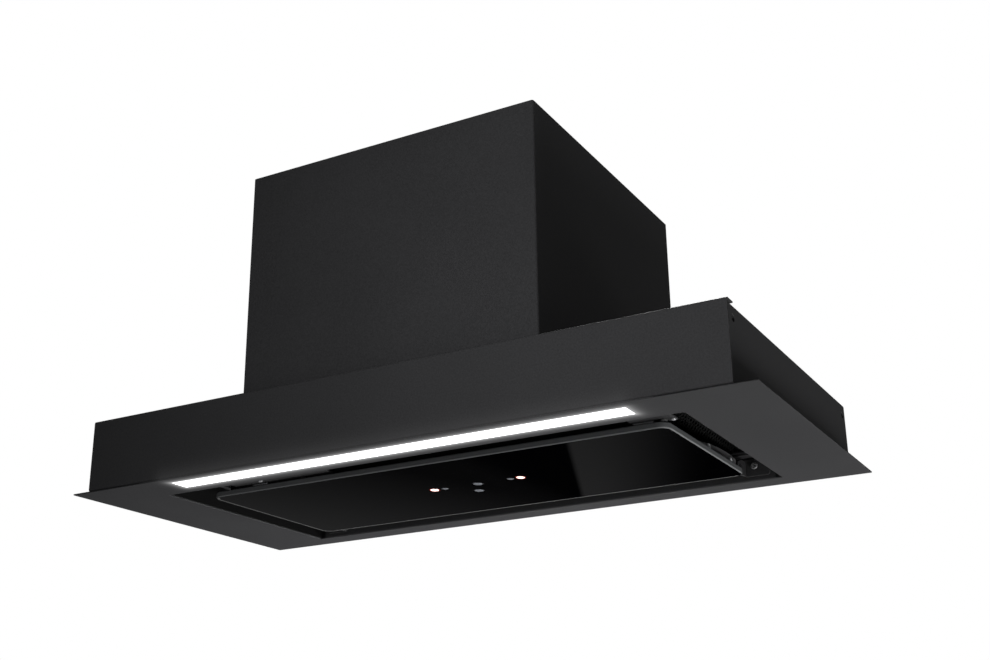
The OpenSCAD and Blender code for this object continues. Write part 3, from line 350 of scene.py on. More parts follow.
def smooth_path(points: Points, steps: int) -> Array:
    """Smooth curve: each span is the cubic through its ends with the neighbours' slopes.

    Args:
        points: Points that the curve passes.
        steps: Steps in each span.

    Returns:
        Points on the curve.
    """
    p = np.array(points, float)
    p = np.vstack([2 * p[0] - p[1], p, 2 * p[-1] - p[-2]])
    t = np.linspace(0, 1, steps, endpoint=False)[:, None]
    spans = [0.5 * (2 * b + (c - a) * t + (2 * a - 5 * b + 4 * c - d) * t ** 2
                    + (3 * b - a - 3 * c + d) * t ** 3)
             for a, b, c, d in zip(p[:-3], p[1:-2], p[2:-1], p[3:])]
    return np.vstack(spans + [p[-2:-1]])


def sweep(path: Array, section: Array) -> Shape:
    """Carries a section along a path on frames that turn as little as they can.

    Args:
        path: Points of the path.
        section: Outline across the path, counter-clockwise.

    Returns:
        The capped shape.
    """
    ahead = np.gradient(path, axis=0)
    ahead /= np.linalg.norm(ahead, axis=1)[:, None]
    start = np.cross(ahead[0], [0.31, 0.17, 0.93])
    sides = [start / np.linalg.norm(start)]
    for direction in ahead[1:]:
        side = sides[-1] - direction * (sides[-1] @ direction)
        sides.append(side / np.linalg.norm(side))
    u = np.array(sides)
    v = np.cross(ahead, u)
    return loft(path[:, None] + section[:, :1] * u[:, None] + section[:, 1:] * v[:, None])


def mitred_frame(x0: float, x1: float, y0: float, y1: float, section: Points) -> Shape:
    """Carries a closed section round a rectangle.

    Each corner has a ring of the section's points, moved inwards along both sides by their inset.

    Args:
        x0, x1: Left and right side.
        y0, y1: Near and far side.
        section: Points of (inset, height).

    Returns:
        The closed frame.
    """
    s = np.array(section, float)
    corners = ((x1, y1, -1, -1), (x0, y1, 1, -1), (x0, y0, 1, 1), (x1, y0, -1, 1))
    rings = [np.column_stack([x + sx * s[:, 0], y + sy * s[:, 0], s[:, 1]]) for x, y, sx, sy in corners]
    return loft(np.array(rings), loop=True)


def screw(shank: float, head_r: float = 3.0, head_h: float = 1.6, shank_r: float = 2.0) -> Shape:
    """Pan-head screw with a cross recess and a thread, its head's underside at the origin.

    The head's height at the distance d is h (1 - (d / r)^4)^0.5, less a trough where a point is near
    one of two crossing lines. The thread's radius swings between two values along the shank.

    Args:
        shank: Length of the shank, which runs along -Z.
        head_r, head_h: Radius and height of the head.
        shank_r: Radius of the shank.

    Returns:
        The closed shape.
    """
    d = head_r * np.array([1.0, 1.0, 0.93, 0.8, 0.64, 0.5, 0.36, 0.22, 0.1, 0.0])[:, None]
    x, y = np.moveaxis(polar(d, steps_round(24)), -1, 0)
    dome = 0.35 * head_h + 0.65 * head_h * np.sqrt((1 - (d / head_r) ** 4).clip(0)) + 0 * x
    near, far = np.minimum(abs(x), abs(y)), np.maximum(abs(x), abs(y))
    trough = ((0.5 - near) / 0.25).clip(0, 1) * ((0.62 * head_r - far) / 0.3).clip(0, 1)
    top = dome - 0.55 * head_h * trough
    top[0] = 0
    h = np.linspace(-shank, 0.05, 2 * int(shank / 0.7) + 1)
    r = np.where(np.arange(len(h)) % 2, shank_r, 0.82 * shank_r)
    r[0] = 0.6 * shank_r
    return joined([loft(np.dstack([x, y, top])), lathe(np.stack([r, h], 1), 14)])


# Finishes


def add_node(tree: bpy.types.NodeTree, kind: str, inputs: dict[str | int, object] | None = None,
             **settings: object) -> bpy.types.Node:
    """Adds a node to a tree.

    Args:
        tree: The tree.
        kind: The node's type, without its first word.
        inputs: What its inputs get: sockets are linked, and anything else is a value.
        settings: Properties of the node.

    Returns:
        The node.
    """
    made = tree.nodes.new("ShaderNode" + kind)
    for label, value in settings.items():
        setattr(made, label, value)
    for key, value in (inputs or {}).items():
        value = getattr(value, "socket", value)
        if isinstance(value, bpy.types.NodeSocket):
            tree.links.new(value, made.inputs[key])
        else:
            made.inputs[key].default_value = value
    return made


class Value:
    """A number in a shader; arithmetic on it adds Math nodes to its tree."""

    def __init__(self, tree: bpy.types.NodeTree, socket: bpy.types.NodeSocket) -> None:
        """Wraps an output socket of one of the tree's nodes."""
        self.tree, self.socket = tree, socket

    def math(self, operation: str, *others: object, first: object = None, clamp: bool = False) -> "Value":
        """Adds a Math node that takes this value.

        Args:
            operation: What the node does.
            others: What it takes after this value.
            first: What it takes before this value, in place of others.
            clamp: Whether the result stays from 0 to 1.

        Returns:
            The result.
        """
        values = (self, *others) if first is None else (first, self)
        return Value(self.tree, add_node(self.tree, "Math", dict(enumerate(values)), operation=operation,
                                         use_clamp=clamp).outputs[0])

    def ramp(self, low: float, high: float, start: float, end: float, kind: str = "LINEAR") -> "Value":
        """Maps the range from low to high onto the one from start to end, and holds both ends."""
        given = {"Value": self, "From Min": low, "From Max": high, "To Min": start, "To Max": end}
        return Value(self.tree, add_node(self.tree, "MapRange", given, interpolation_type=kind).outputs[0])

    def __add__(self, other: object) -> "Value":
        """Sum."""
        return self.math("ADD", other)

    def __sub__(self, other: object) -> "Value":
        """Difference."""
        return self.math("SUBTRACT", other)

    def __rsub__(self, other: float) -> "Value":
        """Difference from a number."""
        return self.math("SUBTRACT", first=other)

    def __mul__(self, other: object) -> "Value":
        """Product."""
        return self.math("MULTIPLY", other)

    def __truediv__(self, other: object) -> "Value":
        """Quotient."""
        return self.math("DIVIDE", other)

    def __abs__(self) -> "Value":
        """Size without its sign."""
        return self.math("ABSOLUTE")


def place_values(tree: bpy.types.NodeTree) -> list[Value]:
    """Returns the X, Y and Z of the point that is shaded, in its object's space."""
    place = add_node(tree, "TexCoord").outputs["Object"]
    return [Value(tree, out) for out in add_node(tree, "SeparateXYZ", {0: place}).outputs]


class Grain(Enum):
    """Small-scale structures that a finish can have."""

    POWDER = "powder coat"
    MOULDED = "moulded plastic"
    BRUSHED = "brushed metal"
    SPANGLE = "zinc crystals"
    POLISHED = "polished"


GREY = (0.1, 0.1, 0.1, 1.0)


class Group:
    """Shader node group under construction, with named sockets."""

    def __init__(self, name: str, inputs: dict[str, object], outputs: Sequence[str] = ("Colour",)) -> None:
        """Makes the group and its sockets.

        Args:
            name: Name of the group.
            inputs: Default value of each input; its type gives the socket's type.
            outputs: Names of the outputs, of which only Colour is a colour.
        """
        self.tree = bpy.data.node_groups.new(name, "ShaderNodeTree")
        for label, value in inputs.items():
            kind = "Float" if isinstance(value, float) else "Color" if len(value) == 4 else "Vector"
            self.tree.interface.new_socket(label, in_out="INPUT",
                                           socket_type="NodeSocket" + kind).default_value = value
        for label in outputs:
            kind = "Color" if label == "Colour" else "Float"
            self.tree.interface.new_socket(label, in_out="OUTPUT", socket_type="NodeSocket" + kind)
        self.source = self.tree.nodes.new("NodeGroupInput")
        self.sink = self.tree.nodes.new("NodeGroupOutput")

    def node(self, kind: str, inputs: dict[str | int, object] | None = None,
             **settings: object) -> bpy.types.Node:
        """Adds a node to the group."""
        return add_node(self.tree, kind, inputs, **settings)

    def __getitem__(self, label: str) -> Value:
        """Returns the named input."""
        return Value(self.tree, self.source.outputs[label])

    def tinted(self, colour: Value, factor: Value) -> Value:
        """Returns a colour times a number."""
        made = self.node("VectorMath", {0: colour, 1: factor}, operation="MULTIPLY")
        return Value(self.tree, made.outputs[0])

    def mixed(self, share: Value, first: Value, second: Value) -> Value:
        """Mixes two colours: a share of 0 gives the first, and 1 the second."""
        made = self.node("Mix", {"Factor": share, 6: first, 7: second}, data_type="RGBA")
        return Value(self.tree, made.outputs[2])

    def done(self, **results: Value) -> bpy.types.NodeTree:
        """Links results to the outputs of their names.

        Args:
            results: The value of each output.

        Returns:
            The group.
        """
        for label, value in results.items():
            self.tree.links.new(value.socket, self.sink.inputs[label])
        return self.tree


class Effects:
    """The node groups that several finishes share, each built once."""

    def __init__(self) -> None:
        """Builds all the groups."""
        self.groups = {
            Grain.POWDER: self._noise_grain("powder_coat_grain", (1.0, 1.0, 1.0), 2.5, 0.6),
            Grain.MOULDED: self._noise_grain("moulded_grain", (1.0, 1.0, 1.0), 1.0, 0.45),
            Grain.BRUSHED: self._noise_grain("brushed_grain", (0.03, 1.0, 1.0), 3.0, 0.65),
            Grain.SPANGLE: self._crystals(),
            Grain.POLISHED: self._noise_grain("polished_surface", (1.0, 1.0, 1.0), 0.0, 0.3),
        }
        # worn edges, lighter on the black finishes as a painted highlight along folds and rims
        self.wear_and_highlight = self._worn_lit_edges()
        self.halo = self._strip_halo()
        # painted shade on the opening's side rims
        self.inside = self._dark_inside()
        # painted highlight line along the glass's rear and left edges
        self.painted_edge_line = self._glass_edge_highlight()

    @staticmethod
    def _grain_group(name: str, scale: float, **more: float) -> Group:
        """Starts a group for a grain, with the inputs that every grain has.

        Args:
            name: Name of the group.
            scale: Usual scale of the grain.
            more: Further inputs.

        Returns:
            The group with its sockets.
        """
        return Group(name, {"Colour": GREY, "Colour Spread": 0.1, "Roughness": 0.5, "Roughness Spread": 0.05,
                            "Grain Scale": scale, "Patch Scale": 9.0, **more},
                     ("Colour", "Roughness", "Height"))

    @staticmethod
    def _finished(g: Group, tone: Value, gloss: Value, height: Value) -> bpy.types.NodeTree:
        """Lets tone and gloss, which swing about 0.5, move the colour and the roughness.

        Args:
            g: The group.
            tone: What moves the colour.
            gloss: What moves the roughness.
            height: Height of the grain.

        Returns:
            The group.
        """
        shade = (tone - 0.5) * g["Colour Spread"] * 2.0 + 1.0
        shine = g["Roughness"] + (gloss - 0.5) * g["Roughness Spread"] * 2.0
        return g.done(Colour=g.tinted(g["Colour"], shade), Roughness=shine, Height=height)

    def _noise_grain(self, name: str, stretch: Sequence[float], detail: float,
                     rough: float) -> bpy.types.NodeTree:
        """Fine noise for height and colour, over broad noise for patches of tone and gloss.

        Args:
            name: Name of the group.
            stretch: How the fine noise is scaled along X, Y and Z.
            detail: Octaves of the fine noise.
            rough: How strong the octaves are.

        Returns:
            The group.
        """
        g = self._grain_group(name, 1500.0, **{"Patch Share": 0.25})
        place = g.node("TexCoord").outputs["Object"]
        along_grain = g.node("Mapping", {"Vector": place, "Scale": stretch}).outputs[0]
        fine, broad = (Value(g.tree, g.node("TexNoise", {"Vector": where, "Scale": scale, "Detail": octaves,
                                                         "Roughness": strength}).outputs[0])
                       for where, scale, octaves, strength in (
                           (along_grain, g["Grain Scale"], detail, rough),
                           (place, g["Patch Scale"], 3.0, 0.55)))
        return self._finished(g, fine + (broad - fine) * g["Patch Share"], broad, fine)

    def _crystals(self) -> bpy.types.NodeTree:
        """Zinc spangle: each crystal of a cell pattern has its own tone and gloss.

        Returns:
            The group.
        """
        g = self._grain_group("zinc_crystals", 180.0)
        place = g.node("TexCoord").outputs["Object"]
        bend = g.node("TexNoise", {"Vector": place, "Scale": g["Patch Scale"]}).outputs[1]
        spot = g.node("VectorMath", {0: bend, 1: (0.004, 0.004, 0.004), 2: place}, operation="MULTIPLY_ADD")
        cells = g.node("TexVoronoi", {"Vector": spot.outputs[0], "Scale": g["Grain Scale"]})
        tone = Value(g.tree, g.node("SeparateColor", {0: cells.outputs["Color"]}).outputs[0])
        return self._finished(g, tone, tone, Value(g.tree, cells.outputs["Distance"]))

    @staticmethod
    def _worn_lit_edges() -> bpy.types.NodeTree:
        """Worn and lit edges, partly painted highlight: where the rounded normal leaves the true one, the
        colour moves to the worn and lit edge colour.

        Returns:
            The group.
        """
        g = Group("edge_wear_and_highlight", {"Colour": GREY, "Worn And Lit Colour": (0.3, 0.3, 0.3, 1.0), "Amount": 0.5,
                                "Round Normal": (0.0, 0.0, 1.0)})
        true = g.node("NewGeometry").outputs["Normal"]
        same = g.node("VectorMath", {0: true, 1: g["Round Normal"]}, operation="DOT_PRODUCT")
        away = (1.0 - Value(g.tree, same.outputs["Value"])) * 4.0
        mask = (away * g["Amount"]).math("ADD", 0.0, clamp=True)
        return g.done(Colour=g.mixed(mask, g["Colour"], g["Worn And Lit Colour"]))

    @staticmethod
    def _strip_halo() -> bpy.types.NodeTree:
        """Glow of the light strip on the paint round it: falls off with the distance d as exp(-d / reach).

        Returns:
            The group.
        """
        g = Group("strip_halo", {"Glow": (1.0, 1.0, 1.0, 1.0), "Reach": 0.003, "Half Length": 0.201,
                                 "Half Width": 0.009, "Centre": -0.121})
        x, y, z = place_values(g.tree)
        dx = (abs(x) - g["Half Length"]).math("MAXIMUM", 0.0)
        dy = (abs(y - g["Centre"]) - g["Half Width"]).math("MAXIMUM", 0.0)
        far = (dx * dx + dy * dy + z * z).math("SQRT")
        return g.done(Colour=g.tinted(g["Glow"], (far / g["Reach"] * -1.0).math("EXPONENT")))

    @staticmethod
    def _dark_inside() -> bpy.types.NodeTree:
        """Painted shade on both side rims: past Start and Side, a Share of the colour is left.

        Returns:
            The group.
        """
        g = Group("painted_rim_shade", {"Colour": GREY, "Start": 0.0003, "Blend": 0.0005, "Share": 0.05,
                                  "Side": 0.226})
        x, _, z = place_values(g.tree)
        high = ((z - g["Start"]) / g["Blend"]).math("ADD", 0.0, clamp=True)
        dark = high * abs(x).math("GREATER_THAN", g["Side"])
        return g.done(Colour=g.tinted(g["Colour"], 1.0 - dark * (1.0 - g["Share"])))

    @staticmethod
    def _glass_edge_highlight() -> bpy.types.NodeTree:
        """Painted highlight line on the glass's face, along its rear and left edges.

        With q = |p - centre| - (half - r), the distance to the rounded outline is
        length(max(q, 0)) + min(max(q), 0) - r. The line is where that is above -width, behind the
        diagonal from the front left corner to the rear right one.

        Returns:
            The group.
        """
        g = Group("painted_glass_edge_line", {"Colour": (0.0, 0.0, 0.0, 1.0), "Roughness": 0.05,
                                  "Highlight Colour": (0.05, 0.05, 0.05, 1.0), "Half Width": 0.2,
                                  "Half Depth": 0.08, "Centre Y": 0.01, "Corner": 0.009,
                                  "Line Width": 0.0016}, ("Colour", "Roughness"))
        x, y, _ = place_values(g.tree)
        y = y - g["Centre Y"]
        qx, qy = (abs(p) - (g[half] - g["Corner"]) for p, half in ((x, "Half Width"), (y, "Half Depth")))
        beyond = [q.math("MAXIMUM", 0.0) for q in (qx, qy)]
        far = (beyond[0] * beyond[0] + beyond[1] * beyond[1]).math("SQRT")
        edge = far + qx.math("MAXIMUM", qy).math("MINIMUM", 0.0) - g["Corner"]
        ring = (edge + g["Line Width"]).math("GREATER_THAN", 0.0)
        # the painted highlight keeps to the far edges, behind the diagonal
        mask = ring * (y / g["Half Depth"] - x / g["Half Width"]).math("GREATER_THAN", 0.0)
        return g.done(Colour=g.mixed(mask, g["Colour"], g["Highlight Colour"]),
                      Roughness=g["Roughness"] + mask * 0.5)


@dataclass(frozen=True)
class Finish:
    """One material: its colour, gloss and small-scale structure.

    Lengths are millimetres. The worn and lit edge share goes from 0, none, to 1, the worn and lit colour
    all along every edge; on the black finishes it is partly a painted highlight. The painted edge line is
    the half width, half depth and middle of the outline that a painted highlight line on the glass follows.
    """

    name: str
    colour: Colour
    roughness: float
    grain: Grain
    grain_size: float = 0.6
    grain_depth: float = 0.01
    colour_spread: float = 0.1
    roughness_spread: float = 0.05
    metallic: float = 0.0
    specular: float = 0.5
    edge: float = 0.25
    wear_and_highlight: float = 0.0
    worn_and_lit_colour: Colour = (0.3, 0.3, 0.3)
    glow: Colour | None = None
    glow_strength: float = 1.0
    halo: float = 0.0
    # whether the opening's side rims get painted shade
    paints_rim_shade: bool = False
    painted_edge_line: tuple = ()

    def build(self, effects: Effects) -> bpy.types.Material:
        """Makes the material from the shared node groups.

        Args:
            effects: The groups.

        Returns:
            The material.
        """
        material = bpy.data.materials.new(self.name)
        material.use_nodes = True
        tree = material.node_tree
        tree.nodes.clear()
        grain = add_node(tree, "Group", {
            "Colour": (*self.colour, 1.0), "Colour Spread": self.colour_spread, "Roughness": self.roughness,
            "Roughness Spread": self.roughness_spread, "Grain Scale": 1.0 / (self.grain_size * MM)},
            node_tree=effects.groups[self.grain])
        normal = add_node(tree, "Bevel", {"Radius": self.edge * MM}, samples=4).outputs[0]
        colour, roughness = grain.outputs["Colour"], grain.outputs["Roughness"]
        # lighter edges: partly wear, partly painted highlight along the folds and rims
        if self.wear_and_highlight:
            colour = add_node(tree, "Group", {
                "Worn And Lit Colour": (*self.worn_and_lit_colour, 1.0), "Amount": self.wear_and_highlight, "Colour": colour,
                "Round Normal": normal}, node_tree=effects.wear_and_highlight).outputs[0]
        # painted shade: the opening's side rims are darkened where the gap lies in shade
        if self.paints_rim_shade:
            colour = add_node(tree, "Group", {"Colour": colour}, node_tree=effects.inside).outputs[0]
        if self.painted_edge_line:
            sizes = {key: v * MM for key, v in zip(("Half Width", "Half Depth", "Centre Y"), self.painted_edge_line)}
            colour, roughness = add_node(tree, "Group", {"Colour": colour, "Roughness": roughness, **sizes},
                                         node_tree=effects.painted_edge_line).outputs
        bump = add_node(tree, "Bump", {"Strength": 1.0, "Distance": self.grain_depth * MM,
                                       "Height": grain.outputs["Height"], "Normal": normal})
        shader = add_node(tree, "BsdfPrincipled", {
            "Metallic": self.metallic, "Specular IOR Level": self.specular, "IOR": 1.5, "Base Color": colour,
            "Roughness": roughness, "Normal": bump.outputs[0]})
        if self.halo:
            halo = add_node(tree, "Group", {"Glow": (self.halo, self.halo, self.halo, 1.0)},
                            node_tree=effects.halo)
            tree.links.new(halo.outputs[0], shader.inputs["Emission Color"])
            shader.inputs["Emission Strength"].default_value = 1.0
        elif self.glow:
            shader.inputs["Emission Color"].default_value = (*self.glow, 1.0)
            shader.inputs["Emission Strength"].default_value = self.glow_strength
        add_node(tree, "OutputMaterial", {0: shader.outputs[0]})
        return material


# the powder coat's lighter edges are partly painted highlight along its folds and rims
POWDER = dict(grain=Grain.POWDER, grain_size=1.3, grain_depth=0.07, colour_spread=0.6, roughness_spread=0.04,
              specular=0.3, edge=0.35, wear_and_highlight=0.2, worn_and_lit_colour=(0.14, 0.14, 0.14))
COAT = (0.021, 0.021, 0.022)
FINISHES = {finish.name: finish for finish in (
    Finish("powder_black", COAT, 0.55, **POWDER),
    Finish("powder_black_lit", COAT, 0.55, halo=0.5, **POWDER),
    # the base plate's finish, with painted shade on the opening's side rims
    Finish("powder_black_base", COAT, 0.55, halo=0.5, paints_rim_shade=True, **POWDER),
    Finish("plastic_black", (0.02, 0.02, 0.021), 0.45, Grain.MOULDED, 0.4, 0.01),
    Finish("plastic_grey", (0.33, 0.34, 0.35), 0.42, Grain.MOULDED, 0.4, 0.008),
    Finish("galvanised", (0.5, 0.51, 0.53), 0.38, Grain.SPANGLE, 5.0, 0.004, 0.12, 0.08, 0.9),
    Finish("bright_steel", (0.7, 0.71, 0.72), 0.22, Grain.BRUSHED, 0.2, 0.002, 0.08, 0.05, 1.0),
    Finish("zinc_plate", (0.72, 0.73, 0.75), 0.35, Grain.MOULDED, 0.3, 0.004, 0.1, 0.08, 0.5),
    Finish("bronze", (0.55, 0.36, 0.16), 0.45, Grain.MOULDED, 0.3, 0.006, 0.15, 0.08, 1.0),
    Finish("aluminium", (0.66, 0.67, 0.68), 0.33, Grain.BRUSHED, 0.25, 0.003, 0.1, 0.06, 1.0),
    Finish("rubber_black", (0.014, 0.014, 0.014), 0.7, Grain.MOULDED, 0.5, 0.015, 0.2, 0.08),
    Finish("circuit_board", (0.02, 0.13, 0.06), 0.35, Grain.MOULDED, 0.8, 0.004, 0.15, 0.05),
    Finish("board_white", (0.8, 0.81, 0.81), 0.4, Grain.MOULDED, 0.5, 0.004),
    Finish("chip_yellow", (0.85, 0.7, 0.22), 0.3, Grain.MOULDED, 0.3, 0.003, glow=(1.0, 0.9, 0.6)),
    Finish("lamp_white", (0.9, 0.92, 0.95), 0.35, Grain.MOULDED, 0.5, 0.002, 0.03, glow=(1.0, 1.0, 1.0),
           glow_strength=1.4),
    Finish("window_lit", (0.9, 0.75, 0.7), 0.2, Grain.POLISHED, glow=(1.0, 0.72, 0.64)),
    Finish("window_dim", (0.085, 0.09, 0.1), 0.3, Grain.POLISHED),
    Finish("window_rim", (0.2, 0.03, 0.02), 0.25, Grain.POLISHED, glow=(0.16, 0.012, 0.008)),
    Finish("window_dim_rim", (0.012, 0.012, 0.013), 0.3, Grain.POLISHED),
    # grey lifted above the coat, with light edges: partly a painted highlight on the hinge arms
    Finish("hinge_black", (0.09, 0.09, 0.092), 0.3, Grain.POWDER, 0.6, 0.01, 0.2, 0.05, edge=0.3, wear_and_highlight=0.3,
           worn_and_lit_colour=(0.25, 0.25, 0.26)),
    # near-black, darker than the black coat: a black finish that partly paints the shade in the gaps round
    # the panel
    Finish("aluminium_black", (0.006, 0.006, 0.0065), 0.5, Grain.BRUSHED, 0.25, 0.003, 0.15, 0.06,
           specular=0.15, wear_and_highlight=0.05, worn_and_lit_colour=(0.05, 0.05, 0.052)),
    # near-black mesh, darker than the black coat: partly painted shade in the gaps round the panel
    Finish("net_black", (0.003, 0.003, 0.003), 0.6, Grain.MOULDED, 0.4, 0.004, 0.3, specular=0.05),
    # black glass with a painted highlight line along its rear and left edges
    Finish("black_glass", (0.0003, 0.0003, 0.0004), 0.02, Grain.POLISHED, 30.0, 0.0, 0.1, 0.005, edge=0.4,
           painted_edge_line=(207.2, 82.2, 11.5)),
    Finish("tray_black", (0.007, 0.007, 0.007), 0.8, Grain.POWDER, 0.6, 0.02, 0.3, specular=0.15),
    Finish("stud_steel", (0.26, 0.26, 0.27), 0.4, Grain.MOULDED, 0.4, 0.005, 0.15, metallic=0.3),
    # lighter grey with light edges: painted light on the left catch angle
    Finish("bracket_painted_lit", (0.045, 0.045, 0.046), 0.5, Grain.MOULDED, 0.8, 0.01, 0.3, 0.08, 0.2, wear_and_highlight=0.3,
           worn_and_lit_colour=(0.3, 0.3, 0.31)),
    Finish("ground_edge", (0.068, 0.071, 0.073), 0.5, Grain.MOULDED, 0.3, 0.01, 0.15, edge=0.2))}
NODE_FINISHES = {"bottom_plate": "powder_black_base", "front_panel": "powder_black_lit"}


class Workshop:
    """Makes the pieces: meshes, finishes, and their places on the CAD bodies."""

    def __init__(self, frame: dict) -> None:
        """Builds every finish, and dresses the CAD nodes.
        """
        effects = Effects()
        self.materials = {key: finish.build(effects) for key, finish in FINISHES.items()}
        record = frame["record"]
        self.slot_of = {part["node"]: part["material_slot"] for part in record["subparts"]}
        self.body_of = {node: body for body, nodes in record["behaviour"]["bodies"].items()
                        for node in nodes}
        for node, made in frame["nodes"].items():
            made.data.materials.clear()
            made.data.materials.append(self.materials[NODE_FINISHES.get(node, self.slot_of[node])])

    def piece(self, name: str, shape: Shape, node: str | None = None, finish: str | None = None,
              body: str | None = None, slot: str | None = None) -> bpy.types.Object:
        """Turns a shape into a piece that rides on a body.

        Args:
            name: Name of the piece.
            shape: Its surface, in millimetres.
            node: CAD node that it replaces, which also gives its body and slot.
            finish: Key of its finish, if that isn't the slot's name.
            body: CAD body that it moves with; empty for a piece that spans two bodies, which is left on none.
            slot: Material slot of the record.

        Returns:
            The piece's object.
        """
        body = self.body_of[node] if body is None else body
        slot = slot or self.slot_of[node]
        mesh = bpy.data.meshes.new(name)
        mesh.from_pydata((shape.points * MM).tolist(), [], shape.faces)
        work = bmesh.new()
        work.from_mesh(mesh)
        bmesh.ops.remove_doubles(work, verts=work.verts, dist=1e-6)
        bmesh.ops.recalc_face_normals(work, faces=work.faces)
        work.to_mesh(mesh)
        work.free()
        mesh.polygons.foreach_set("use_smooth", np.ones(len(mesh.polygons), bool))
        mesh.set_sharp_from_angle(angle=SHARP_ANGLE)
        mesh.materials.append(self.materials[finish or slot])
        made = bpy.data.objects.new(name, mesh)
        bpy.context.scene.collection.objects.link(made)
        if body:
            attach(made, body)
        if node:
            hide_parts(node)
        LOG.info("piece %s on %s", name, body or "two bodies")
        return made


# Sub-assemblies


def limits(node: str) -> tuple[float, ...]:
    """Returns a CAD node's box as x0, x1, y0, y1, z0, z1 in millimetres."""
    return tuple(value / MM for pair in zip(*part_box(node)) for value in pair)


def middles(node: str) -> tuple[float, float, float]:
    """Returns the middle of a CAD node's box in millimetres."""
    x0, x1, y0, y1, z0, z1 = limits(node)
    return (x0 + x1) / 2, (y0 + y1) / 2, (z0 + z1) / 2


def upright(shape: Shape, y: float = 0.0, z: float = 0.0) -> Shape:
    """Stands a shape up, so that its X, Y and Z run along Y, Z and X, and shifts it."""
    return shape.axes(2, 0, 1).moved(0, y, z)


@dataclass
class LightStrip:
    """Opal diffuser, LED board and chips in a sheet-metal trough."""

    lip: float = 1.5
    chips: int = 30
    chip_size: tuple = (5.6, 3.0)
    pad: float = 1.1
    track_at: float = 4.2
    track_inset: float = 4.0
    chip_h: float = 0.8
    glow_r: float = 1.15
    sheet: float = 1.2

    def build(self, shop: Workshop) -> None:
        """Makes the diffuser, the chips with their phosphor, the board's tracks and the trough.

        Args:
            shop: Makes the pieces.
        """
        x0, x1, y0, y1, z0, z1 = limits("lamp_diffuser")
        lip = self.lip
        lens = soft_box(x0 + lip, x1 - lip, y0 + lip, y1 - lip, z0, z1, 0.4)
        flange = plate(soft_rect(x0, x1, y0, y1, 1.0, 4), z1 - lip, z1,
                       [soft_rect(x0 + 2 * lip, x1 - 2 * lip, y0 + 2 * lip, y1 - 2 * lip, 0.8, 4)], 0.2)
        shop.piece("light_diffuser", joined([lens, flange]), "lamp_diffuser")
        x0, x1, y0, y1, z, _ = limits("lamp_board")
        pitch, y = (x1 - x0) / self.chips, (y0 + y1) / 2
        places = [x0 + pitch * (i + 0.5) for i in range(self.chips)]
        w, d = (size / 2 for size in self.chip_size)
        shells = [soft_box(x - w, x + w, y - d, y + d, z - self.chip_h, z, 0.15) for x in places]
        shop.piece("led_packages", joined(shells), body="hood", slot="board_white")
        dot = lathe([(0, 0), (self.glow_r, 0), (1.0, 0.14), (0, 0.2)], 14)
        glows = [along(dot, "-z", (x, y, z - 0.75)) for x in places]
        shop.piece("led_phosphor", joined(glows), "lamp_chips")
        half, side, inset = self.pad / 2, self.track_at, self.track_inset
        tracks = [soft_box(x0 + inset, x1 - inset, y + s - 0.5, y + s + 0.5, z - 0.06, z + 0.02, 0.03)
                  for s in (-side, side)]
        tracks += [soft_box(x - half, x + half, y - side, y - d, z - 0.05, z + 0.02, 0.03) for x in places]
        shop.piece("led_tracks", joined(tracks), body="hood", slot="bronze")
        x0, x1, y0, y1, z0, z1 = limits("lamp_housing")
        t = self.sheet
        wall = [(0, z0), (t, z0), (t, z1 - t), (10.0, z1 - t), (11.6, z1 - t), (11.6, z1),
                (1.4, z1), (0.4, z1 - 0.4), (0, z1 - 1.4)]
        shop.piece("light_trough", mitred_frame(x0, x1, y0, y1, wall), "lamp_housing")


